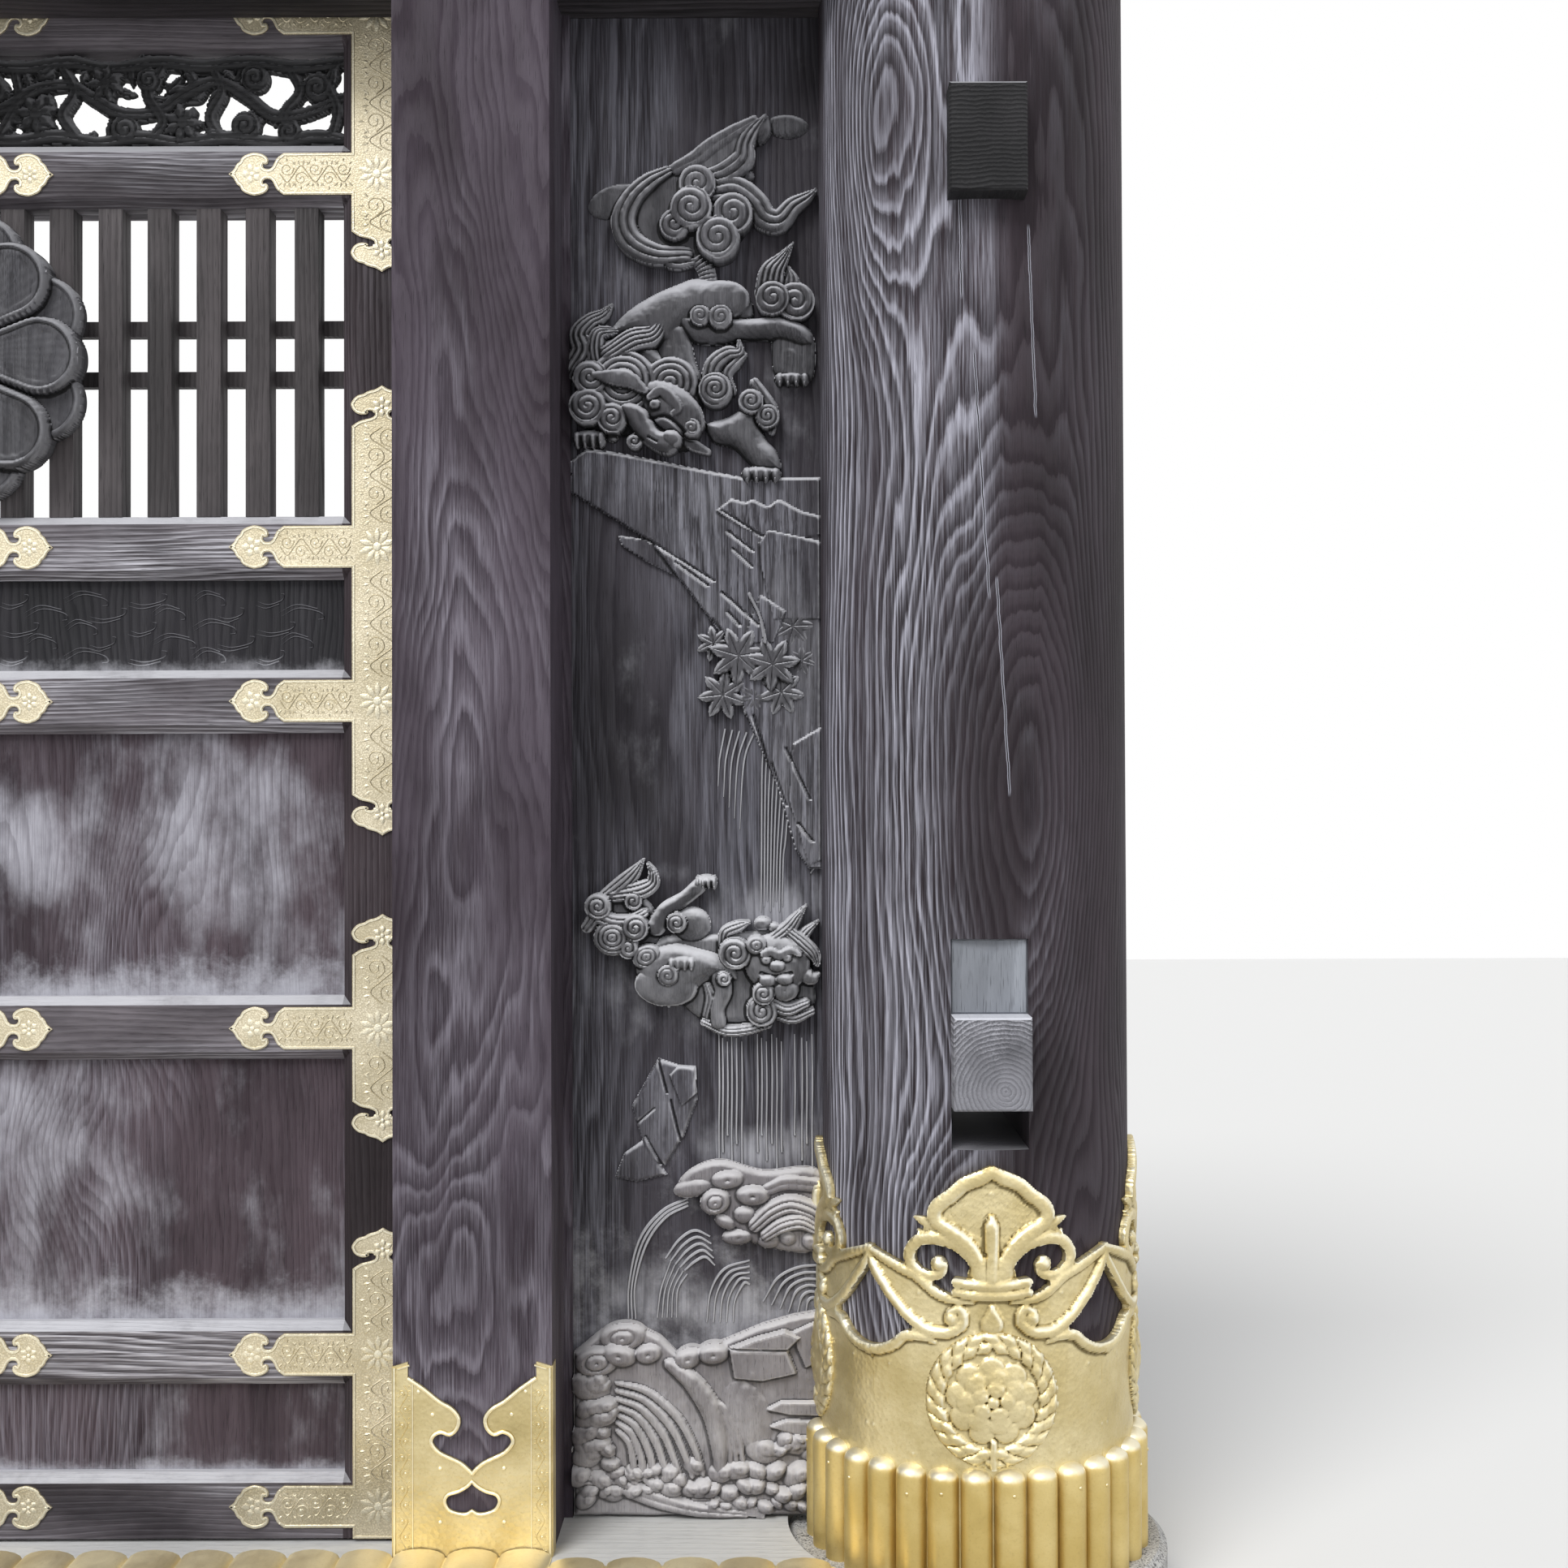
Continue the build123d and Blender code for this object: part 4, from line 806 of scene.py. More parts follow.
def board():
    """The plain board behind the carvings, cut to the round of the pillar."""
    low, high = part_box("carved_panel")
    rows = [low.z * 1000, 420, 473, 475, 700, 1000, 1500, 2000, high.z * 1000]
    verts, faces = [], []
    for z in rows:
        for y in (PANEL_FRONT, PANEL_FRONT + BOARD_THICK):
            cut = PILLAR_X - math.sqrt(PILLAR_R ** 2 - y ** 2)
            verts += [(x / 1000, y / 1000, z / 1000) for x in np.linspace(PANEL_LEFT, cut, 4)]
    for r in range(len(rows) - 1):
        a, b = r * 8, (r + 1) * 8
        for k in range(3):
            faces += [(a + k, a + k + 1, b + k + 1, b + k), (a + 5 + k, a + 4 + k, b + 4 + k, b + 5 + k)]
        faces += [(a + 4, a, b, b + 4), (a + 3, a + 7, b + 7, b + 3)]
    n = (len(rows) - 1) * 8
    faces += [(0, 4, 5, 6, 7, 3, 2, 1), (n, n + 1, n + 2, n + 3, n + 7, n + 6, n + 5, n + 4)]
    add_object("carved_board", np.array(verts), faces, board_wood, "frame", ("carved_panel",), "carved_wood")


def applied(name, field, mat):
    """High relief on the panel, in place of the CAD node of that name."""
    carve(name, field, ON_PANEL, mat, "frame", (name + "_carving",))


board()

# Cloud and tail
f = Field(20, 432, 2130, 2470, 1.8)
f.lump(88, 2303, 46, 27, 9, turn=0.35)
f.lump(377, 2428, 36, 20, 8, turn=-0.05, rings=1, depth=1)
f.blob([(120, 2290), (150, 2330), (195, 2356), (235, 2352), (300, 2340), (322, 2318), (330, 2282), (300, 2235),
    (262, 2200), (215, 2200), (165, 2205), (125, 2240)], 20, 0, 18)
f.blob([(172, 2352), (205, 2372), (228, 2376), (250, 2400), (290, 2424), (330, 2440), (345, 2444), (352, 2420),
    (340, 2398), (318, 2390), (312, 2366), (322, 2340), (290, 2322), (240, 2330)], 24, 0, 22)
f.stroke([(196, 2352, 13), (224, 2366, 15), (252, 2388, 15), (286, 2410, 13), (322, 2432, 8)], 12, 16, 2, 2)
f.stroke([(228, 2330, 15), (270, 2340, 20), (302, 2364, 20), (308, 2392, 15), (322, 2416, 11), (341, 2440, 3)],
    20, 14, 3, 3.5)
f.stroke([(176, 2346, 10), (146, 2328, 16), (118, 2300, 19), (104, 2264, 21), (118, 2228, 21), (158, 2208, 18),
    (206, 2208, 13)], 22, 12, 3, 4)
f.stroke([(160, 2206, 10), (190, 2192, 9), (218, 2196, 7)], 18, 8, 2, 3)
f.stroke([(250, 2310, 20), (290, 2314, 24), (322, 2292, 23), (340, 2268, 21), (364, 2264, 19), (386, 2288, 15),
    (408, 2302, 10), (424, 2314, 3)], 24, 12, 3, 4)
f.stroke([(228, 2206, 16), (240, 2186, 15), (246, 2164, 14)], 16, 6, cross=7, depth=4)
f.spiral(228, 2320, 31, 14, 34, 2.2, 1, 0.3)
f.spiral(190, 2252, 25, 15, 34, 2.2, 1, 1.5)
f.spiral(286, 2270, 34, 16, 34, 2.2, -1, 2.2)
f.spiral(218, 2278, 35, 18, 38, 2.6, 1, 0.8)
f.spiral(262, 2228, 36, 18, 38, 2.6, -1, 2.4)
f.roughen(0.5)
applied("cloud_tail", f, carved_wood)

# Lion that looks down from the cliff
f = Field(14, 430, 1820, 2240, 1.7)
f.blob([(79, 2081), (107, 2114), (148, 2141), (193, 2161), (224, 2171), (262, 2167), (297, 2151), (320, 2126),
    (310, 2098), (256, 2092), (205, 2084), (190, 2050), (129, 2060), (96, 2068)], 38, 0, 42)
f.blob([(186, 2110), (256, 2104), (319, 2104), (366, 2106), (408, 2090), (420, 2060), (400, 2052), (366, 2062),
    (313, 2066), (256, 2058), (214, 2066)], 32, 0, 22)
f.blob([(356, 2080), (416, 2084), (420, 2006), (388, 1996), (356, 2008), (350, 2040)], 20, 0, 16)
f.blob([(168, 2094), (208, 2090), (224, 2031), (240, 1985), (232, 1950), (205, 1960), (180, 1990), (158, 2038)],
    30, 0, 26)
f.blob([(20, 1960), (30, 2020), (80, 2070), (160, 2050), (220, 1990), (230, 1940), (220, 1890), (190, 1880),
    (150, 1890), (110, 1905), (60, 1912), (22, 1930)], 24, 0, 18)
f.lump(262, 2128, 52, 34, 16, 26, 0.1)
f.stroke([(20, 2018, 19), (36, 2046, 21), (30, 2074, 18), (48, 2096, 14), (70, 2108, 10), (84, 2124, 3)],
    24, 12, 4, 4.5)
f.stroke([(60, 2020, 14), (56, 2052, 16), (64, 2076, 12), (92, 2080, 6)], 22, 14, 4, 4)
f.stroke([(84, 2040, 18), (120, 2062, 20), (152, 2070, 17), (166, 2088, 12), (174, 2106, 4)], 24, 20, 5, 4.5)
f.lump(104, 1992, 56, 54, 12, 34, 0, rings=5, depth=4.5)
f.lump(182, 1990, 46, 44, 10, 32, 0, rings=4, depth=4)
f.spiral(50, 1998, 29, 16, 34, 2.5, 1, 0.0)
f.spiral(46, 1950, 31, 18, 34, 2.8, -1, 1.0)
f.spiral(86, 1930, 25, 16, 34, 2.4, 1, 2.0)
f.stroke([(58, 2000, 5), (88, 1996, 13), (114, 1992, 14), (142, 1974, 6)], 12, 46)
f.lump(186, 1948, 60, 36, 24, 34, -0.65, power=0.6)
f.blob([(98, 1950), (118, 1958), (146, 1942), (162, 1912), (192, 1908), (196, 1886), (176, 1872), (140, 1890),
    (112, 1922)], 26, 26, 15)
f.lump(186, 1896, 17, 13, 14, 44, -0.5)
f.spiral(218, 1912, 15, 10, 46, 1.8, 1, 0.5, 2.5)
f.stroke([(150, 1962, 6), (168, 1972, 9), (186, 1958, 9), (196, 1942, 7), (186, 1934, 4)], 8, 54)
f.lump(158, 1950, 9, 7, 6, 56)
f.spiral(122, 1894, 13, 10, 28, 1.6, 1)
f.groove([(150, 1930), (172, 1932), (190, 1922), (206, 1906)], 5, 12)
f.groove([(146, 1898), (160, 1890)], 3, 8)
f.stroke([(200, 1900, 8), (222, 1888, 9), (244, 1878, 5)], 12, 16)
f.stroke([(246, 1996, 13), (254, 2022, 15), (276, 2040, 13), (296, 2044, 9), (296, 2062, 3)], 20, 18, 3, 3.5)
f.stroke([(284, 1980, 8), (276, 2006, 9), (292, 2026, 8), (306, 2040, 4)], 18, 14, 2, 3)
f.spiral(257, 1978, 28, 20, 30, 3.0, 1, 0.6)
f.blob([(240, 1925), (275, 1938), (303, 1950), (326, 1938), (340, 1902), (358, 1880), (364, 1850), (329, 1846),
    (310, 1862), (285, 1885), (252, 1896)], 34, 0, 26)
f.stroke([(322, 1992, 9), (338, 1968, 11), (352, 1944, 10), (350, 1912, 6)], 22, 10, 2, 3)
f.spiral(316, 1958, 21, 18, 30, 2.4, 1, 0.4)
f.spiral(343, 1934, 20, 16, 28, 2.4, -1, 1.4)
f.paw(332, 1842, 34, 14, 26, 4)
f.paw(46, 1902, 29, 15, 26, 6)
f.lump(84, 1905, 10, 9, 18, 8)
f.paw(384, 2002, 30, 12, 20, 4)
f.spiral(390, 2126, 32, 12, 26, 2.2, 1, 0.2)
f.spiral(352, 2130, 28, 18, 28, 2.2, -1, 1.8)
f.stroke([(346, 2142, 24), (352, 2176, 22), (368, 2200, 12), (386, 2226, 2)], 22, 12, 5, 4)
f.stroke([(380, 2140, 16), (384, 2164, 13), (378, 2184, 5)], 18, 10, 3, 3)
f.spiral(232, 2100, 17, 8, 40, 2.0, 1, 0.0, 2.5)
f.spiral(266, 2097, 20, 8, 40, 2.2, -1, 1.0, 2.5)
f.roughen(0.55)
applied("upper_lion", f, carved_wood)

# Cliff and its facets, slab and slits
f = Field(14, 432, 1180, 1900, 2.6)
f.blob([(14, 1812), (14, 1866), (40, 1886), (90, 1880), (150, 1868), (235, 1850), (300, 1838), (432, 1838),
    (432, 1184), (408, 1184), (386, 1216), (358, 1318), (303, 1443), (267, 1571), (213, 1642), (146, 1730)],
    15, 0, 5, smooth=False)
f.blob([(256, 1780), (283, 1800), (306, 1793), (318, 1799), (343, 1786), (361, 1799), (400, 1778), (432, 1770),
    (432, 1740), (400, 1735), (343, 1748), (333, 1738), (300, 1752)], 6, 0, 2.5, False, True, 0.7)
f.blob([(328, 1727), (343, 1748), (432, 1728), (432, 1600), (352, 1600), (331, 1690)], 5, 0, 2.5, False, True, 0.5)
f.blob([(300, 1560), (330, 1640), (372, 1612), (352, 1560)], 4, 0, 2.5, False, True, 0.3)
f.blob([(384, 1392), (432, 1420), (432, 1200), (410, 1190), (376, 1300)], 4, 0, 2.5, False, True, 0.4)
f.blob([(92, 1742), (145, 1734), (192, 1700), (190, 1672), (138, 1698), (98, 1724)], 8, 0, 3, smooth=False)
for line in ([(266, 1781), (333, 1738)], [(276, 1747), (318, 1714)], [(285, 1718), (316, 1688)], [(145, 1732),
        (253, 1664)], [(189, 1696), (243, 1656)], [(266, 1645), (327, 1590)], [(276, 1612), (296, 1590)],
        [(250, 1600), (282, 1560)], [(318, 1440), (352, 1330)], [(372, 1385), (412, 1300)], [(348, 1360),
        (372, 1290)], [(392, 1260), (416, 1230)]):
    f.groove(line, 3.4, 6)
f.roughen(0.45)
carve("cliff", f, ON_PANEL, cliff_wood, "frame", smooth=28)

# Maple spray: seven-lobed leaves (u, z, size, seat, turn) and a stem
f = Field(215, 430, 1425, 1650, 1.5)
for u, z, size, seat, turn in (
        (252, 1560, 32, 9, 0.4), (333, 1612, 34, 10, 0.9), (384, 1588, 42, 12, -0.4), (398, 1530, 32, 12, 0.2),
        (267, 1474, 44, 14, 1.9), (318, 1470, 34, 11, 0.2), (364, 1478, 42, 16, 1.2), (293, 1538, 52, 19, 2.4),
        (350, 1524, 48, 23, 0.6)):
    win, U, Z = f.window(np.array([[u, z]]), size + 3)
    du, dz = U - u, Z - z
    lobe = (np.abs((np.arctan2(dz, du) - turn) * 7 / (2 * np.pi) % 1 - 0.5) * 2)
    ragged = 0.06 * np.abs((lobe * 3) % 1 - 0.5)
    r = np.hypot(du, dz)
    s = (r - size * (0.46 + 0.50 * (1 - lobe) ** 0.85 + ragged)) * 0.7
    vein = 2.5 * np.clip(1 - lobe * r * 0.45 / 1.6, 0, 1)
    f.join(win, seat + 5 * np.sqrt(np.clip(-s / 5, 0, 1)) - vein - 2 * (r / size), s, True)
f.stroke([(312, 1640, 3), (330, 1600, 3), (338, 1560, 3)], 5, 26)
f.roughen(0.3)
applied("maple_spray", f, carved_wood)

# Waterfalls and foam arcs, as thin raised lines on the board
water = Stock()


def lines(count, *bundles):
    """Lines side by side. A bundle is a rise and points (u, its change from line to line, z, its change, half width)."""
    for k in range(count):
        for rise, *path in bundles:
            water.ridge([(u + du * k, z + dz * k, w) for u, du, z, dz, w in path], rise, ON_PANEL, sides=3)


lines(5, (3.2, (318, -12, 1410, 2, 2.2), (304, -10.5, 1376, 0, 2.4), (298, -9.5, 1330, 8, 2), (294, -9, 1250, 18, 1)))
for k in range(8):
    water.ridge([(333 + 6 * k, 1382 - 13 * k, 1.8), (331 + 5.6 * k, 1330 - 14 * k, 2.2), (330 + 5.2 * k, 1200, 2.2),
                 (329 + 5.1 * k, 1112 + 9 * (k % 3), 1.4)], 3.4, ON_PANEL, sides=3)
lines(1, (3.5, (404, 0, 1330, 0, 1.6), (417, 0, 1240, 0, 2), (424, 0, 1198, 0, 2), (412, 0, 1176, 0, 1.6)))
for k, u in enumerate((258, 264, 272, 279, 287, 296, 322, 329, 337, 346, 354, 362, 384, 396, 404, 413)):
    water.ridge([(u, 908 - 6 * (k % 3), 1.4), (u + 0.7, 820 + 10 * (k % 2), 2.3), (u - 0.4, 752, 2.1),
                 (u, 684 + 14 * ((k * 2) % 5), 2.8)], 3.6, ON_PANEL, sides=3)
lines(5,
      (4, (168, 8, 536, -5, 1.6), (190, 6.5, 566, -9, 2.6), (216, 4.5, 582, -11, 2.6), (242, 2, 572, -12, 1.4)),
      (3.4, (154, 8, 438, 0, 1.4), (160, 7, 484, 0, 2.2), (176, 7, 530, -5, 1.5)),
      (4, (236, 11, 430, 0, 1.6), (243, 10, 482, -4, 2.3), (266, 8, 518, -6, 2.6), (308, 0, 532, -10, 1.6)))
lines(6, (4, (330, 14, 464, -6, 1.6), (354, 10, 502, -8, 2.6), (388, 5, 520, -10, 2.6), (424, 0, 524, -12, 2)))
lines(3, (4.4, (118, -6, 436, 0, 2), (117, -5, 493, 0, 2.6), (136, -6, 560, 3, 3), (168, -3, 604, 5, 3),
          (206, 0, 624, 6, 2.4)))
water.make("water_lines", water_wood, "frame", (), "carved_wood")

# Rock between the falls
f = Field(75, 240, 660, 880, 1.8)
f.blob([(112, 790), (157, 870), (192, 858), (220, 856), (222, 800), (200, 740), (168, 690), (140, 700)],
    8, 0, 8, smooth=False)
f.blob([(84, 672), (100, 712), (130, 733), (150, 706), (172, 676), (120, 664)], 7, 0, 8, smooth=False)
f.blob([(176, 842), (192, 858), (220, 856), (222, 812), (196, 790)], 4, 0, 2, False, True, 0.3)
for line in ([(158, 866), (172, 812)], [(122, 762), (150, 786)], [(178, 800), (196, 730), (216, 700)], [(136, 740),
        (168, 684)]):
    f.groove(line, 3, 5)
f.roughen(0.4)
carve("fall_rock", f, ON_PANEL, cliff_wood, "frame", smooth=28)

# Young lion in the fall
f = Field(30, 430, 900, 1215, 1.7)
f.blob([(120, 1010), (160, 1070), (250, 1076), (300, 1080), (400, 1080), (416, 1000), (410, 950), (330, 930),
    (240, 930), (190, 962)], 18, 0, 16)
f.blob([(60, 1090), (64, 1130), (110, 1150), (150, 1120), (160, 1060), (120, 1040), (90, 1050)], 18, 0, 14)
f.stroke([(74, 1140, 14), (98, 1158, 16), (118, 1178, 12), (134, 1200, 3)], 20, 12, 4, 4)
f.stroke([(86, 1142, 13), (124, 1148, 16), (148, 1160, 13), (150, 1178, 8), (142, 1194, 3)], 22, 12, 4, 4)
f.stroke([(42, 1090, 10), (58, 1106, 13), (84, 1098, 13), (110, 1098, 12), (134, 1112, 9)], 14, 24, 3, 3)
f.spiral(60, 1124, 22, 14, 30, 2.4, 1, 0.4)
f.lump(84, 1072, 32, 30, 16, 28, 0, rings=4, depth=3.5)
f.spiral(122, 1088, 22, 14, 32, 2.4, -1, 1.2)
f.spiral(118, 1132, 15, 10, 28, 1.8, 1, 2.0)
f.spiral(110, 1054, 17, 12, 28, 2.0, 1, 0.0)
f.lump(140, 1040, 24, 20, 12, 30, 0.4, rings=3, depth=3)
f.stroke([(156, 1090, 16), (172, 1118, 13), (202, 1136, 12), (226, 1156, 13)], 30, 6)
f.paw(238, 1164, 20, 12, 26, 6)
f.lump(214, 1092, 32, 30, 22, 8)
f.spiral(190, 1096, 17, 10, 32, 2.0, 1, 0.6)
f.blob([(122, 1026), (150, 1052), (190, 1062), (225, 1054), (258, 1044), (284, 1022), (290, 1000), (262, 1004),
    (232, 992), (214, 968), (186, 956), (152, 964), (128, 992)], 34, 8, 34)
f.lump(172, 992, 52, 34, 14, 30, -0.1, power=0.6)
f.spiral(176, 1010, 17, 8, 42, 2.0, 1, 0.3, 2.5)
f.paw(198, 1030, 24, 12, 12, 34)
f.stroke([(262, 1008, 17), (266, 982, 15), (256, 954, 13), (258, 932, 13)], 34, 4)
f.spiral(268, 1004, 12, 8, 38, 1.6, 1)
f.stroke([(236, 930, 8), (270, 916, 9), (306, 918, 9), (340, 926, 7)], 20, 6, 3, 3.5)
f.stroke([(240, 944, 9), (246, 970, 10), (240, 990, 7)], 20, 8, 3, 3)
f.lump(356, 1030, 54, 50, 26, 30, power=0.6)
f.stroke([(266, 1060, 8), (270, 1080, 10), (292, 1090, 10), (308, 1096, 4)], 20, 18, 3, 3.5)
f.spiral(286, 1046, 27, 18, 34, 2.6, 1, 0.4)
f.lump(322, 1060, 18, 16, 10, 48, rings=2, depth=3)
f.lump(332, 1094, 15, 12, 16, 24, rings=1)
f.lump(350, 1088, 10, 8, 14, 26)
f.stroke([(354, 1070, 13), (374, 1086, 13), (388, 1104, 9), (404, 1124, 2)], 22, 22, 4, 4)
f.stroke([(392, 1058, 10), (402, 1078, 10), (424, 1098, 2)], 20, 16, 3, 3.5)
f.stroke([(376, 1080, 11), (398, 1062, 13), (416, 1044, 11), (422, 1028, 5)], 20, 26, 4, 4)
f.stroke([(334, 1046, 6), (346, 1050, 7), (360, 1044, 7), (378, 1052, 7), (392, 1046, 5)], 8, 54)
f.lump(338, 1036, 8, 7, 7, 56, rings=1, depth=2)
f.lump(372, 1040, 8, 7, 7, 56, rings=1, depth=2)
f.lump(356, 1026, 13, 9, 10, 54)
f.groove([(330, 1014), (352, 1008), (378, 1014)], 5, 14)
f.lump(340, 1002, 14, 10, 12, 46)
f.lump(368, 1004, 14, 10, 12, 46)
f.stroke([(396, 1014, 12), (412, 1004, 12), (424, 1010, 4)], 26, 14)
f.spiral(333, 980, 19, 16, 38, 2.2, 1, 0.0)
f.lump(368, 986, 23, 20, 18, 34, rings=1)
f.spiral(330, 950, 26, 18, 26, 2.8, -1, 0.7)
f.stroke([(346, 962, 11), (372, 952, 12), (402, 962, 8)], 20, 18, 3, 3.5)
f.stroke([(354, 944, 10), (382, 938, 11), (410, 948, 8)], 20, 10, 3, 3.5)
f.roughen(0.55)
applied("lower_lion", f, dusty_carving)


def foam(field, line, size, count, rise, seat):
    """Overlapping lumps of foam along a line, most of them with a curled lip."""
    p = smooth_path(line, 12)
    for k in np.linspace(0, len(p) - 1, count).astype(int):
        u, z = p[k] + rng.normal(0, size * 0.22, 2)
        a, turn = size * rng.uniform(0.75, 1.15), rng.uniform(-0.8, 0.8)
        b, high = a * rng.uniform(0.6, 0.8), seat + rng.uniform(-3, 3)
        field.lump(u, z, a, b, rise, high, turn, power=0.6)
        field.lump(u + a * 0.25, z + b * 0.2, a * 0.55, b * 0.55, rise * 0.5, high + rise * 0.72, turn, rings=1)


# Foam where the fall strikes
f = Field(176, 430, 535, 715, 1.8)
f.blob([(190, 660), (214, 688), (262, 702), (330, 684), (428, 680), (428, 556), (330, 556), (290, 582), (250, 612),
    (225, 640)], 18, 0, 14)
f.lump(216, 656, 34, 15, 16, 10, 0.2)
f.lump(272, 670, 30, 17, 18, 14, 0.1, rings=1, depth=4)
f.lump(252, 634, 26, 22, 18, 18, 0.3, rings=2, depth=4)
f.lump(314, 644, 30, 18, 18, 18, 0.0, rings=1, depth=5)
f.lump(300, 612, 18, 14, 14, 16)
f.stroke([(318, 596, 12), (344, 618, 15), (376, 630, 16), (410, 620, 15), (428, 606, 13)], 22, 14, 3, 4)
f.stroke([(336, 580, 10), (362, 596, 13), (392, 602, 13), (418, 590, 10)], 20, 18, 3, 3.5)
f.stroke([(340, 654, 10), (370, 664, 12), (420, 660, 12)], 12, 14, 2, 2)
f.lump(290, 574, 28, 14, 20, 6, 0.1, rings=1, depth=3)
f.lump(340, 568, 20, 13, 20, 8)
f.lump(372, 572, 16, 13, 18, 8)
f.lump(410, 568, 18, 16, 20, 8, rings=1, depth=2)
f.lump(268, 600, 20, 12, 18, 8, -0.5)
f.roughen(0.5)
applied("wave_crest", f, pale_carving)

# Breaking waves at the foot
f = Field(14, 424, 113, 452, 1.9)
f.blob([(16, 114), (16, 384), (60, 420), (110, 436), (160, 410), (200, 372), (216, 384), (262, 402), (330, 430),
    (380, 444), (424, 452), (424, 114)], 20, 0, 10, smooth=False)
foam(f, [(40, 330), (46, 290), (40, 250), (46, 206)], 31, 7, 18, 15)
foam(f, [(60, 338), (66, 296), (58, 250), (70, 206)], 21, 9, 16, 22)
foam(f, [(330, 214), (370, 232), (414, 222)], 27, 6, 16, 16)
foam(f, [(336, 226), (376, 240), (416, 236)], 17, 6, 13, 23)
f.lump(98, 411, 40, 24, 16, 16, 0.1, rings=2, depth=3)
f.lump(56, 372, 38, 26, 18, 20, 0.2, rings=2, depth=4)
f.lump(92, 384, 30, 20, 16, 24, -0.3, rings=1, depth=4)
f.lump(140, 384, 24, 17, 14, 20, 0.2, rings=1, depth=4)
f.lump(140, 262, 84, 92, 12, 12, -0.6, power=0.7)
for k in range(7):
    f.stroke([(88, 336 - 13 * k, 3), (138 - 5 * k, 322 - 14 * k, 5.5), (188 - 12 * k, 280 - 13 * k, 6.5),
        (216 - 17 * k, 230 - 8.5 * k, 6), (230 - 18 * k, 186 - 3 * k, 4)], 9, 21)
f.stroke([(176, 366, 10), (214, 336, 16), (246, 286, 18), (258, 236, 16), (258, 192, 10)], 18, 18, 1, 3)
for k in range(4):
    f.stroke([(240 + 4 * k, 308 - 12 * k, 4), (266 - k, 292 - 12 * k, 6), (288 - 7 * k, 250 - 8 * k, 6),
        (296 - 10 * k, 206, 4)], 9, 20)
f.lump(302, 280, 44, 66, 14, 16, 0.35, power=0.6)
f.lump(206, 376, 26, 18, 16, 18, 0.4, rings=1, depth=3)
f.lump(248, 384, 28, 18, 18, 20, 0.1, rings=1, depth=4)
f.blob([(274, 394), (316, 410), (366, 424), (392, 412), (372, 392), (330, 392)], 14, 22, 3, smooth=False)
f.blob([(274, 392), (370, 390), (386, 352), (330, 340), (282, 344)], 10, 22, 3, smooth=False)
f.blob([(380, 420), (424, 440), (424, 372), (400, 360), (386, 392)], 8, 20, 3, smooth=False)
f.blob([(334, 292), (360, 306), (424, 306), (424, 282), (372, 284)], 8, 22, 3, smooth=False)
f.blob([(338, 264), (370, 276), (424, 272), (424, 250), (380, 252)], 7, 22, 3, smooth=False)
foam(f, [(30, 172), (120, 186), (220, 184), (320, 190), (412, 182)], 25, 13, 18, 15)
foam(f, [(30, 150), (120, 164), (220, 158), (320, 162), (412, 152)], 21, 18, 18, 17)
foam(f, [(250, 138), (330, 134), (412, 130)], 15, 9, 14, 16)
foam(f, [(92, 178), (150, 192), (176, 184)], 17, 6, 14, 20)
f.stroke([(24, 180, 8), (90, 168, 13), (150, 146, 14), (220, 128, 12), (300, 120, 6)], 14, 18, 2, 2.5)
for k in range(3):
    f.stroke([(214, 146 - 7 * k, 3), (270, 142 - 8 * k, 4), (330, 124 - 4 * k, 3)], 6, 20)
f.roughen(0.7)
applied("lower_waves", f, pale_carving)

# Gilt plates on the leaf
ON_LEAF = flat(LEAF_X, LEAF_FRONT)
PLATE = 3       # the plates' thickness
# Half of a plate's ornamental end, from its point to its shoulder, and the end's length and half width
TIP = [(0, 0), (5, 4), (9, 8), (12, 14), (15, 18), (19, 21), (22, 27), (27, 31), (34, 34), (42, 36), (50, 35),
       (57, 33),
       (63, 29), (66, 24), (65, 18), (61, 16), (58, 17), (57, 13), (60, 9), (65, 8), (70, 9), (74, 13), (77, 19),
       (80, 25), (84, 29), (88, 32), (92, 35)]
TIP_LONG, TIP_HALF = TIP[-1]


def turned(place, u0, z0, du, dz):
    """Lays (a, b) along the direction (du, dz) from (u0, z0)."""
    return lambda a, b, h: place(u0 + a * du - b * dz, z0 + a * dz + b * du, h)


def tip(length, half):
    return [(a * length / TIP_LONG, b * half / TIP_HALF) for a, b in smooth_path(TIP, 3)]


def plate_outline(z0, z1, left, right, low_tip, high_tip, arms_left=(), arms_right=(), reach=206.0, arm=35.0,
                  end=68.0):
    """An upright plate with square or ornamental ends, and an arm towards a side at each height in arms_."""
    mid, half = (left + right) / 2, (right - left) / 2
    t, s = tip(end, half), tip(TIP_LONG, arm)
    out = []
    if low_tip:
        out += [(mid - b, z0 + a) for a, b in t[::-1]] + [(mid + b, z0 + a) for a, b in t[1:]]
    else:
        out += [(left, z0), (right, z0)]
    for z in sorted(arms_right):
        out += [(right, z - arm)] + [(right + reach - a, z - b) for a, b in s[::-1]]
        out += [(right + reach - a, z + b) for a, b in s[1:]] + [(right, z + arm)]
    if high_tip:
        out += [(mid + b, z1 - a) for a, b in t[::-1]] + [(mid - b, z1 - a) for a, b in t[1:]]
    else:
        out += [(right, z1), (left, z1)]
    for z in sorted(arms_left, reverse=True):
        out += [(left, z + arm)] + [(left - reach + a, z + b) for a, b in s[::-1]]
        out += [(left - reach + a, z - b) for a, b in s[1:]] + [(left, z - arm)]
    return np.array(out)


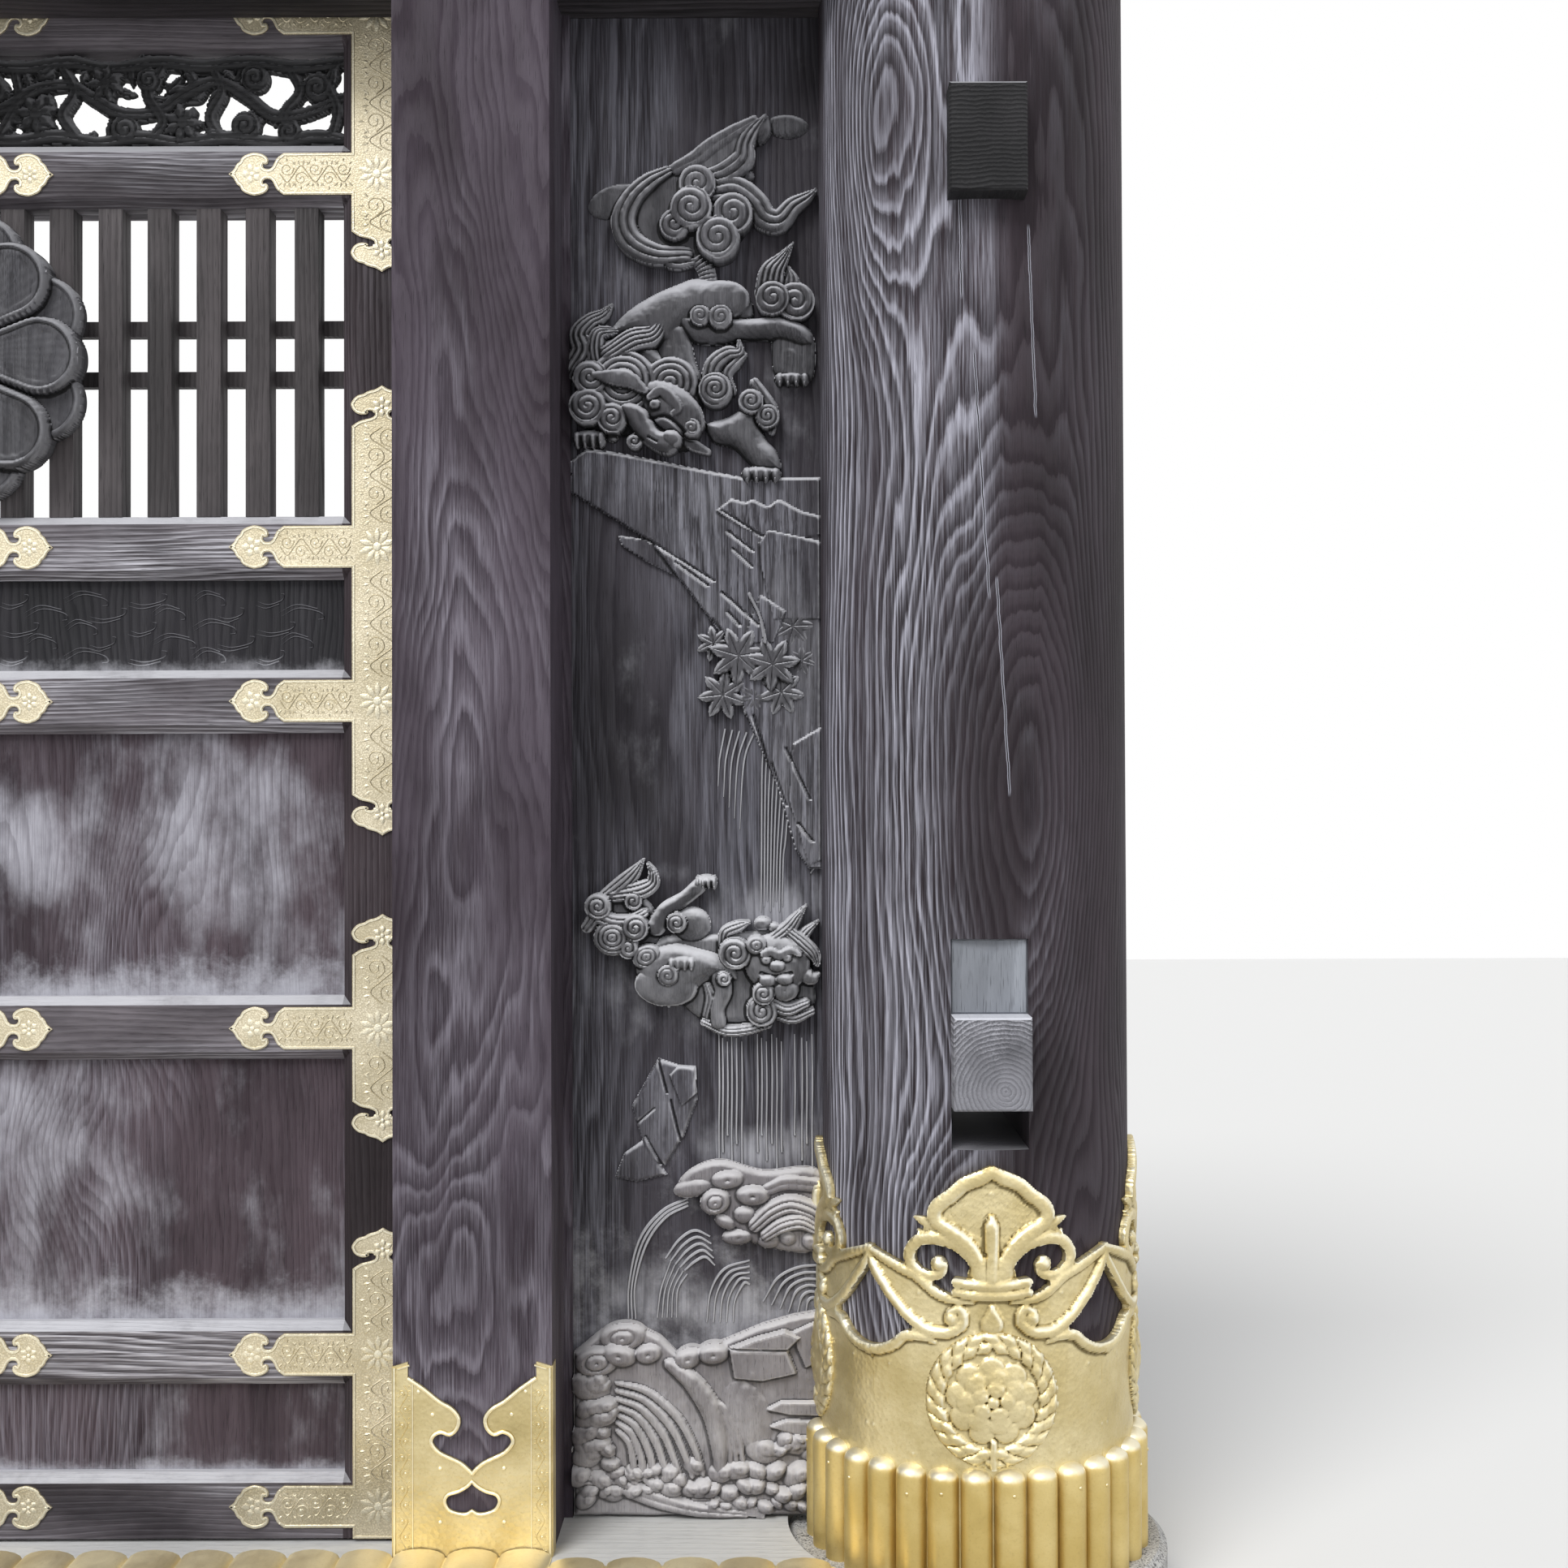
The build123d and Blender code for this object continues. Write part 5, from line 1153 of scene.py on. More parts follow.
def inset(points, d):
    """The outline moved inwards by d, for an outline that runs anticlockwise."""
    p = np.array(points, float)
    ahead, behind = np.roll(p, -1, 0) - p, p - np.roll(p, 1, 0)
    ahead /= np.maximum(np.hypot(*ahead.T), 1e-9)[:, None]
    behind /= np.maximum(np.hypot(*behind.T), 1e-9)[:, None]
    n = np.stack([-ahead[:, 1], ahead[:, 0]], 1) + np.stack([-behind[:, 1], behind[:, 0]], 1)
    return p + n * (d * 2 / np.maximum((n * n).sum(1), 1.2))[:, None]


def plate(stock, outline):
    """A plate with a raised rim."""
    stock.sheet(outline, PLATE, ON_LEAF)
    path = inset(outline, 3.0)
    stock.ridge(np.column_stack([path, np.full(len(path), 2.9)]), 1.3, ON_LEAF, PLATE, closed=True, sides=3,
                smooth=False, foot=0.38)


def vine(stock, length, half, place, bay=0.82, width=1.6, rise=1.2, seat=PLATE):
    """A wavy stem with a coiled shoot in each bend, and leaves along both."""
    n = max(int(round(length / (half * bay))), 1)
    step = length / n

    def leaf(u, z, turn, size):
        c, s = math.cos(turn) * size, math.sin(turn) * size
        stock.ridge([(u, z, 0.5), (u + c * 0.5, z + s * 0.5, size * 0.30), (u + c, z + s, 0.3)], rise, place, seat,
                    steps=2, sides=2, foot=0.3)

    stem = [(k * step / 2, half * 0.48 * math.sin(math.pi * k / 2), width) for k in range(2 * n + 1)]
    stock.ridge(stem, rise, place, seat, steps=4, sides=2, foot=0.3)
    for i in range(n):
        side = 1 if i % 2 == 0 else -1
        cx, cy, r = (i + 0.5) * step, -side * half * 0.28, half * 0.42
        coil = []
        for k in range(9):
            turn = math.pi * (1.05 - side * k * 0.33)
            rr = r * (1 - k * 0.095)
            coil.append((cx + rr * math.cos(turn), cy + rr * math.sin(turn), width * (1 - 0.05 * k)))
        stock.ridge(coil, rise, place, seat, steps=3, sides=2, foot=0.3)
        stock.stud(*coil[-1][:2], width * 1.7, rise * 1.2, place, seat, sides=6)
        for off, turn, size in ((-0.40, 2.3, 0.32), (-0.14, 1.8, 0.30), (0.12, 1.3, 0.30), (0.38, 0.8, 0.32)):
            leaf(cx + off * step, side * half * 0.50, side * turn, half * size)
        for t in (0.22, 0.5, 0.78):
            turn = math.pi * t
            leaf(cx + r * math.cos(turn), cy - side * r * math.sin(turn), -side * math.pi * t, half * 0.24)


def flower(stock, radius, petals, u, z, rise=1.4):
    """A small flower of petals round a bead, on a plate."""
    place = turned(ON_LEAF, u, z, 1, 0)
    for k in range(petals):
        a = 2 * math.pi * (k + 0.5) / petals
        c, s = math.cos(a), math.sin(a)
        w = radius * 0.28 * 8 / petals
        stock.ridge([(c * radius * 0.26, s * radius * 0.26, w * 0.35), (c * radius * 0.62, s * radius * 0.62, w),
                     (c * radius, s * radius, w * 0.3)], rise, place, PLATE, steps=3, sides=3, foot=0.34, relief=0.7)
    stock.stud(0, 0, radius * 0.24, rise * 1.5, place, PLATE, sides=8)


BAYS = (LEAF_X - 355.0, LEAF_X + 355.0)       # the middles of the leaf's two bays
RAILS = [(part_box(n)[0].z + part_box(n)[1].z) * 500 for n in
         ("bottom_rail", "kick_rail", "middle_rail", "frieze_rail", "lattice_rail", "transom_rail", "top_rail")]
LEAF_LOW, LEAF_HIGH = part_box("hinge_stile_plates")[0].z * 1000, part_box("hinge_stile_plates")[1].z * 1000
# The plates on a stile: their ends, which of them are ornamental, and the rails with an arm
SPANS = ((LEAF_LOW, 589, False, True, (0, 1)), (731, 1111, True, True, (2,)), (1242, 1995, True, True, (3, 4)),
         (2186, LEAF_HIGH, True, False, (5, 6)))
for side, name in ((1, "hinge_stile_plates"), (-1, "meeting_stile_plates")):
    plates = Stock()
    left, right = (682, 783) if side > 0 else (-783, -682)
    middle, edge = (left + right) / 2, left if side > 0 else right
    for z0, z1, low, high, rails in SPANS:
        arms = [RAILS[k] for k in rails]
        plate(plates, plate_outline(z0, z1, left, right, low, high, *((arms, ()) if side > 0 else ((), arms))))
        cuts = sorted([z0 + (70 if low else 6)] + arms + [z1 - (70 if high else 6)])
        for a, b in zip(cuts, cuts[1:]):
            a, b = a + (40 if a in arms else 0), b - (40 if b in arms else 0)
            if b - a > 30:
                vine(plates, b - a, 42, turned(ON_LEAF, middle, a, 0, 1))
        if low:
            flower(plates, 17, 6, middle, z0 + 36)
        if high:
            flower(plates, 17, 6, middle, z1 - 36)
        for z in arms:
            flower(plates, 31, 10, middle - side * 8, z, 1.0)
            vine(plates, 118, 29, turned(ON_LEAF, edge - side * 2, z, -side, 0))
            flower(plates, 17, 5, edge - side * 167, z, 1.0)
            for a, b in ((12, 0), (196, 0), (121, 27), (121, -27)):
                plates.stud(edge - side * a, z + b, 2.3, 2.0, ON_LEAF, PLATE, 6)
    plates.make(name, plate_gilt, "leaf", (name,), "gilt")

# A cross on the muntin at each rail, without its lower or upper end where another plate or the leaf's end is near
plates = Stock()
for k, z in enumerate(RAILS):
    z0, low = (LEAF_LOW, False) if k == 0 else ((z - 53, False) if k == 5 else (z - 125, True))
    z1, high = (LEAF_HIGH, False) if k == 6 else ((z + 53, False) if k == 4 else (z + 125, True))
    plate(plates, plate_outline(z0, z1, -38, 38, low, high, (z,), (z,), 144.0, 35.0, 62.0))
    flower(plates, 32, 10, 0, z, 1.6)
    for side in (1, -1):
        vine(plates, 52, 27, turned(ON_LEAF, side * 36, z, side, 0))
        flower(plates, 15, 6, side * 143, z)
        plates.stud(side * 172, z, 2.3, 2.0, ON_LEAF, PLATE, 6)
    for wanted, end, side in ((high, z1, 1), (low, z0, -1)):
        if wanted:
            vine(plates, 40, 28, turned(ON_LEAF, 0, z + side * 38, 0, side))
            flower(plates, 13, 6, 0, end - side * 34)
plates.make("muntin_plates", plate_gilt, "leaf", ("muntin_plates",), "gilt")

# The shoe: a crowned drum with a finial on each quarter
DRUM_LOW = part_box("pillar_shoe")[0].z * 1000
INNER = SHOE_R - 6
SLOT_LOW, SLOT_HIGH = 14.0, 71.0        # the slot in the left side for the panel, in y


def mirrored(points):
    return [(-p[0],) + tuple(p[1:]) for p in points]


def quarter(turn):
    """One quarter of the drum, its crown, rims, scrolls and finial."""
    f = Field(-201.06, 201.06, DRUM_LOW, 742, 3.0)
    # the drum's wall up to the lower rim of the windows, the two wings, and the neck
    wall = [(203, DRUM_LOW - 5), (203, 446), (175, 450), (150, 462), (130, 480), (105, 481), (92, 494), (127, 514),
            (151, 534), (184, 574), (203, 605), (151, 587), (112, 573), (81, 551), (38, 541)]
    neck = [(38, 540), (36, 580), (26, 606), (30, 634), (60, 652), (80, 662), (84, 676), (62, 696), (38, 720),
            (0, 738)]
    f.blob(wall + mirrored(wall[::-1]), 6, 0, 0.5, smooth=False)
    f.blob(neck + mirrored(neck[-2::-1]), 6, 0, 0.5, smooth=False)
    for m in (list, mirrored):
        # wing's rim, coil and the lower rim of the window
        f.stroke(m([(-30, 538, 6), (-60, 540, 7), (-84, 549, 8), (-112, 570, 8), (-151, 585, 8), (-200, 603, 6)]), 9,
                 5)
        f.stroke(m([(-200, 600, 5), (-184, 572, 8), (-168, 552, 8), (-151, 532, 8), (-127, 510, 8), (-94, 490, 9),
                    (-64, 490, 9), (-42, 506, 8), (-48, 526, 7), (-62, 520, 6)]), 10, 5)
        f.stroke(m([(-84, 474, 3), (-105, 480, 8), (-130, 478, 8), (-150, 462, 8), (-175, 450, 8), (-203, 446, 8)]),
                 10, 5)
        # scroll beside the neck
        f.stroke(m([(-20, 574, 10), (-27, 600, 10), (-50, 622, 10), (-80, 631, 10), (-109, 626, 9), (-124, 605, 9),
                    (-118, 584, 9), (-97, 573, 8), (-76, 578, 7), (-71, 591, 6)]), 11, 2)
        f.stroke(m([(-74, 640, 5), (-90, 650, 8), (-102, 655, 7), (-117, 660, 2)]), 8, 2)
        f.stroke(m([(-70, 634, 5), (-98, 636, 5), (-112, 641, 2)]), 6, 2)
        # finial's rim
        f.stroke(m([(0, 733, 10), (-18, 724, 11), (-40, 714, 11), (-60, 696, 11), (-78, 682, 11), (-84, 668, 11),
                    (-80, 655, 10), (-60, 642, 11), (-38, 624, 12), (-22, 600, 12), (-13, 574, 12)]), 11, 4)
    for side in (-1, 1):
        f.lump(side * 60, 511, 12, 12, 10, 6)
        f.lump(side * 79, 592, 12, 12, 13, 2)
    # finial's petal, the two collars of its neck and the bud under them
    f.stroke([(0, 572, 10), (0, 610, 9), (0, 650, 10), (0, 662, 6)], 12, 6, steps=4)
    for z in (562, 547):
        f.stroke([(-52, z + 5, 7), (-26, z + 1, 8), (0, z, 8), (26, z + 1, 8), (52, z + 5, 7)], 12, 6, steps=4)
    f.blob([(-18, 504), (-10, 490), (10, 490), (18, 504), (8, 524), (3, 534), (-3, 534), (-8, 524)], 7, 5, 8)
    for u, z in ((0, 700), (40, 520), (0, 497), (26, 488), (110, 545), (160, 430), (190, 330), (120, 300)):
        f.lump(u, z, 4.2, 4.2, 3, 5)
        f.lump(-u, z, 4.2, 4.2, 3, 5)
    # punched ground of the finial, and soft dents
    ground = (np.hypot(f.U / 62, (f.Z - 672) / 40) < 1) & (f.h < 8)
    dimple = np.sin(f.U * 0.85 + np.round(f.Z / 7.4) * 1.6) * np.sin(f.Z * 0.85)
    f.h = np.where(ground, f.h - 1.2 + 1.2 * dimple, f.h)
    f.h += 0.25 * (f.s < 0) * (blur(blur(rng.standard_normal(f.h.shape), 3), 3) * 6)
    if turn > 4:
        y = -INNER * np.sin(f.U / SHOE_R)
        slot = np.minimum(y - (SLOT_LOW - 3), np.where(f.Z > 536, 122.0, SLOT_HIGH + 3) - y)
        f.s = np.maximum(f.s, slot)
    return f


def medallion(turn):
    """A flower in a ring of leaves, a generic one."""
    f = Field(-106, 106, 283, 495, 2.4)
    z0 = 389.0
    r = np.hypot(f.U, f.Z - z0)
    f.h = np.where(r < 102, 3.0, 0.0)
    f.s = r - 103.0
    for row, (ring_r, size, seat) in enumerate(((93, 9, 2.5), (80, 9, 4.0))):
        for k in range(22):
            t = 2 * math.pi * (k + 0.5 * row) / 22 - math.pi / 2
            hand = 1 if math.cos(t) > 0 else -1
            path = []
            for d, grow, w in ((-0.15, -5, 2.5), (0.0, 0, size), (0.17, 6, 2)):
                q, rr = t + hand * d, ring_r + grow
                path.append((rr * math.cos(q), z0 + rr * math.sin(q), w))
            f.stroke(path, 6, seat, 1, 1.6, steps=5, outline=False)
    for n, ring_r, wide, deep, seat, off in ((9, 52, 20, 19, 3, 0.2), (7, 37, 18, 16, 6, 0.5),
                                             (5, 21, 14, 12, 9, 0.1)):
        for k in range(n):
            t = 2 * math.pi * k / n + off
            cu, cz = ring_r * math.cos(t), z0 + ring_r * math.sin(t) * 0.92
            f.lump(cu, cz, deep, wide, 6, seat, t, False, power=0.32)
            cu, cz = cu - math.cos(t) * 5, cz - math.sin(t) * 5
            f.lump(cu, cz, deep * 0.55, wide * 0.6, 3.5, seat + 3.5, t, False, power=0.4)
    for side in (-1, 1):
        f.stroke([(side * 40, z0 - 66, 2), (side * 58, z0 - 60, 8), (side * 70, z0 - 44, 2)], 5, 4, 1, 1.5,
                 outline=False)
    f.stroke([(0, z0 - 62, 5), (0, z0 - 102, 5)], 7, 4, outline=False)
    f.lump(0.0, z0, 10, 10, 7, 10, outline=False)
    if turn > 4:
        y = -INNER * np.sin(f.U / SHOE_R)
        f.s = np.maximum(f.s, np.minimum(y - (SLOT_LOW - 3), SLOT_HIGH + 3 - y))
    return f


for name, shape, radius, node, how in (("pillar_shoe", quarter, INNER, "pillar_shoe", {"sink": 0.0}),
                                       ("shoe_medallion", medallion, SHOE_R, "shoe_medallions",
                                        {"sink": 1.0, "spread": 5})):
    for k in range(4):
        turn = math.pi / 2 * k
        carve("%s_%d" % (name, k + 1), shape(turn), wrapped(turn, radius), shoe_gilt, "frame", (node,), "gilt",
              smooth=50, **how)

# Upright ribs round the shoe's foot, left out at the slot
ribs = Stock()
RIB_R, RIB_DOME = 24.2, 20
rib_low, rib_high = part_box("shoe_ribs")[0].z * 1000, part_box("shoe_ribs")[1].z * 1000
for k in range(32):
    turn = 2 * math.pi * (k + 0.5) / 32
    y = -SHOE_R * math.cos(turn)
    if math.sin(turn) < 0 and SLOT_LOW - 27 < y < SLOT_HIGH + 27:
        continue
    rows = [(0.0, rib_low, 24.0), (0.0, rib_low + 60, RIB_R), (0.0, rib_high - 60, RIB_R),
            (0.0, rib_high - RIB_DOME, RIB_R)]
    rows += [(0.0, rib_high - RIB_DOME + RIB_DOME * t, RIB_R * max(1 - t ** 2.5, 0.012) ** 0.45)
             for t in (0.25, 0.5, 0.7, 0.85, 0.95, 1.0)]
    ribs.ridge(rows, 24, wrapped(turn, SHOE_R + 0.4), 0, sides=10, smooth=False, relief=0.5)
    if k % 3 != 1:
        ribs.stud(2, rib_high - 33 - 7 * (k % 2), 3.2, 2.2, wrapped(turn, SHOE_R + 23.6), 0, 6)
ribs.make("shoe_ribs", rib_gilt, "frame", ("shoe_ribs",), "gilt", 60)

# Ribbed covers on the ground beams
COVER_PITCH = 82.0
for name in ("door_ribbed_cover", "panel_ribbed_cover"):
    low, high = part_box(name)
    x0, x1, y0, y1, z0 = low.x * 1000, high.x * 1000, low.y * 1000, high.y * 1000, low.z * 1000

    def on_top(u, v, h, base=z0):
        return np.stack([np.asarray(u) / 1000, np.asarray(v) / 1000, (base + np.asarray(h)) / 1000], -1)

    n = max(int(round((x1 - x0) / COVER_PITCH)), 1)
    pitch = (x1 - x0) / n
    cover = Stock()
    edge = []
    for k in range(n + 1):
        x = x0 + k * pitch
        inside = STONE_R ** 2 - (x - PILLAR_X) ** 2
        beside_stone = name == "panel_ribbed_cover" and inside > 0
        edge.append((x, min(y1, -math.sqrt(inside)) if beside_stone else y1))
    cover.sheet([(x0, y0), (x1, y0)] + edge[::-1], 6, on_top, relief=0.42)
    for k in range(n):
        x = x0 + (k + 0.5) * pitch
        w = pitch / 2 - 0.8
        rows = [(x, y0 + 14 * (1 - math.cos(a)) * 0.5, w * (0.35 + 0.65 * math.sin(a))) for a in (0.1, 0.5, 1.0,
                                                                                                  1.5708)]
        rows += [(x, y0 + 40, w), (x, min(edge[k][1], edge[k + 1][1]) - 0.5, w)]
        cover.ridge(rows, 14, on_top, 6, sides=8, smooth=False, relief=0.5)
        if k % 2 == 0:
            cover.stud(x + 3, y0 + 34, 2.6, 1.6, on_top, 19.4, 6)
    cover.make(name, cover_gilt, "frame", (name,), "gilt", 60)

# Sheaths at the jambs' feet: the left half of their notch and of their hole
NOTCH = [(-101, 393), (-76, 376), (-51, 356), (-32, 345), (-21, 330), (-24, 314), (-35, 305), (-48, 309), (-60, 304),
         (-64, 292), (-52, 277), (-34, 268), (-18, 260), (-6, 250), (0, 243)]
HOLE = [(0, 232), (-8, 224), (-22, 216), (-38, 211), (-43, 200), (-36, 187), (-20, 181), (-8, 181), (0, 186)]
notch, hole = ([tuple(p) for p in smooth_path(half_line, 3)] for half_line in (NOTCH, HOLE))
ring = hole + mirrored(hole[::-1][1:-1])
BAND = 34       # how far a sheath reaches round the jamb's side
BOX_EDGE = 1529     # past this, a band would leave the CAD model's box
for name in ("right_jamb", "left_jamb"):
    low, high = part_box(name)
    x0, x1, front = low.x * 1000, high.x * 1000, low.y * 1000
    foot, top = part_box(name + "_sheath")[0].z * 1000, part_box(name + "_sheath")[1].z * 1000
    half = (x1 - x0) / 2
    on_jamb = flat((x0 + x1) / 2, front)
    line = [(-half, foot), (half, foot), (half, top - 9), (101, top - 2)]
    line += mirrored(notch) + notch[::-1][1:] + [(-101, top - 2), (-half, top - 9)]
    sheath = Stock()
    sheath.sheet(line, 3, on_jamb, [ring], relief=0.5)

    def bead(points, rise, **how):
        sheath.ridge(points, rise, on_jamb, 3, **{"sides": 3, "smooth": False, **how})

    for side in (-1, 1):
        bead([(side * -a, b, 3.6) for a, b in notch], 4.2, steps=1, sides=4, smooth=True)
        bead([(side * (half - 3), foot, 3), (side * (half - 3), top - 11, 3)], 2)
        bead([(side * 93, foot, 1.6), (side * 93, 392, 1.6)], 1.4)
        bead([(side * (half - 8), top - 13, 2), (side * 98, top - 7, 2)], 2)
        vine(sheath, 300, 13, turned(on_jamb, side * 107, foot + 14, 0, 1), 2.0, 1.1, 1.2)
        for u, z in ((62, 336), (50, 252), (50, 168), (84, 120), (84, 372)):
            sheath.stud(side * u, z, 3.4, 2.6, on_jamb, 3, 8)
    bead([(a, b, 3.2) for a, b in ring], 4, closed=True, sides=4)
    bead([(-half + 2, foot + 3, 3), (half - 2, foot + 3, 3)], 2)
    for side, face in ((-1, x0), (1, x1)):
        if abs(face) > BOX_EDGE:
            continue

        def on_side(u, z, h, side=side, face=face):
            return np.stack([(face + side * np.asarray(h)) / 1000, (front + side * np.asarray(u)) / 1000,
                             np.asarray(z) / 1000], -1)
        near, far = sorted((0, side * BAND))
        sheath.sheet([(near, foot), (far, foot), (far, top - 9), (near, top - 9)], 1.5, on_side, relief=0.5)
    sheath.make(name + "_sheath", shoe_gilt, "frame", (name + "_sheath",), "gilt")

# Rosette on the lattice: two rings of petals round a ribbed core
low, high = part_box("rosette")
ON_ROSE = turned(flat((low.x + high.x) * 500, LEAF_FRONT), 0, (low.z + high.z) * 500, 1, 0)
BEHIND_ROSE = turned(flat((low.x + high.x) * 500, LEAF_FRONT - 0.5), 0, (low.z + high.z) * 500, 1, 0)
ROSE_HALF, ROSE_STEP = 257.5, 2.5
f = Field(-ROSE_HALF, ROSE_HALF, -ROSE_HALF, ROSE_HALF, ROSE_STEP)
r, a = np.hypot(f.U, f.Z), np.arctan2(f.Z, f.U)


def petals(count, offset, tip_r, seat, thick, dish, line):
    """A ring of rounded, rimmed and dished petals."""
    half = math.pi / count * 0.97
    k = math.sin(half)
    centre = tip_r / (1 + k)
    phi = (a - offset + math.pi / count) % (2 * math.pi / count) - math.pi / count
    x, y = r * np.cos(phi), r * np.sin(phi)
    s = np.where(x > centre * math.cos(half) ** 2, np.hypot(x - centre, y) - centre * k,
                 np.abs(y) * math.cos(half) - x * math.sin(half))
    t = np.clip(-s / 9, 0, 1)
    height = seat + thick * np.sqrt(np.clip(1 - (1 - t) ** 2, 0, 1))
    height -= dish * np.clip((-s - 9) / 16, 0, 1) ** 0.7
    height -= line * np.exp(-((s + 13) / 2.2) ** 2)
    height += 0.35 * np.sin(phi * 90) * np.clip((-s - 12) / 10, 0, 1)
    height += 5 * np.clip(1 - r / tip_r, 0, 1)
    f.h = np.where((s < 0) & (height > f.h), height, f.h)
    f.s = np.minimum(f.s, s)
    return s


petals(8, math.pi / 8, 252, 10, 20, 3, 2)
front = petals(8, 0.0, 240, 30, 20, 6, 2.5)
bead_line = (np.abs(front + 2.5) < 2.6) & (r > 92) & (r < 205) & (f.h > 30)
f.h = np.where(bead_line, f.h + 1.6 * np.sin(r * 0.62), f.h)
CORE = 86.0
dome = 42 + 13 * np.sqrt(np.clip(1 - (r / CORE) ** 2, 0, 1))
cut = np.minimum(np.abs(np.sin((f.U + f.Z) * math.pi / 31)), np.abs(np.sin((f.U - f.Z) * math.pi / 31)))
dome -= 4.5 * np.clip(1 - cut / 0.28, 0, 1)
f.h = np.where(r < CORE, dome, f.h)
f.h = np.where(np.abs(r - CORE) < 4, 40, f.h)
f.s = np.minimum(f.s, r - CORE)
f.roughen(0.45)
carve("rosette", f, ON_ROSE, rosette_wood, "leaf", ("rosette",), sink=0.0, smooth=46)
edge = []
for t in np.linspace(0, 2 * math.pi, 160, endpoint=False):
    q = np.arange(80.0, 256.0, 1.0)
    i, j = (np.clip(((q * way + ROSE_HALF) / ROSE_STEP).round().astype(int), 0, f.s.shape[0] - 1)
            for way in (math.sin(t), math.cos(t)))
    reach = q[f.s[i, j] < 0].max() - 1.5
    edge.append((reach * math.cos(t), reach * math.sin(t)))
back = Stock()
back.sheet(edge, 0.6, BEHIND_ROSE, relief=0.4)
back.make("rosette_back", rosette_wood, "leaf", (), "carved_wood")

# Pierced boards above the lattice: scrolls (u, z, half width), flowers or curls, and loose leaves
SCROLLS = (
    [(-310, 20, 12), (-250, 14, 14), (-180, 24, 13), (-110, 12, 12), (-40, 22, 13), (30, 12, 12), (110, 20, 14),
     (190, 12, 12), (260, 22, 13), (310, 16, 10)],
    [(-310, 148, 10), (-240, 140, 13), (-160, 150, 12), (-90, 138, 12), (-10, 150, 12), (70, 142, 13), (150, 150, 12),
     (230, 140, 13), (310, 150, 10)],
    [(-310, 60, 9), (-262, 74, 13), (-214, 104, 12), (-160, 112, 10), (-118, 88, 12), (-70, 62, 12), (-10, 66, 10),
     (38, 96, 13), (90, 116, 11), (140, 92, 12), (186, 58, 12), (240, 62, 11), (310, 90, 9)],
    [(-280, 20, 9), (-262, 52, 11), (-244, 90, 10), (-250, 130, 9)],
    [(-150, 26, 10), (-170, 60, 11), (-150, 100, 10), (-170, 140, 9)],
    [(-20, 20, 9), (0, 50, 11), (-24, 96, 10), (0, 142, 9)], [(96, 20, 10), (80, 56, 11), (100, 100, 10),
                                                              (84, 140, 9)],
    [(222, 20, 9), (206, 60, 11), (232, 100, 10), (214, 140, 9)],
    [(286, 22, 8), (296, 70, 10), (280, 110, 9), (296, 146, 8)])
CURLS = ((-214, 60, 30, 16, 0.3), (-96, 112, 27, 16, 1.4), (-64, 34, 24, 14, 2.0), (34, 44, 28, 16, 0.9),
         (140, 40, 25, 14, 2.4), (156, 122, 24, 14, 0.1), (262, 104, 25, 15, 1.1), (-286, 104, 24, 14, 0.6),
         (-24, 118, 21, 14, 1.9), (214, 30, 20, 13, 0.7))
low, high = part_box("transom_openwork")
BOARD_LOW, BOARD_HIGH, BOARD_FRONT, BOARD_BACK = low.z * 1000, high.z * 1000, low.y * 1000, high.y * 1000
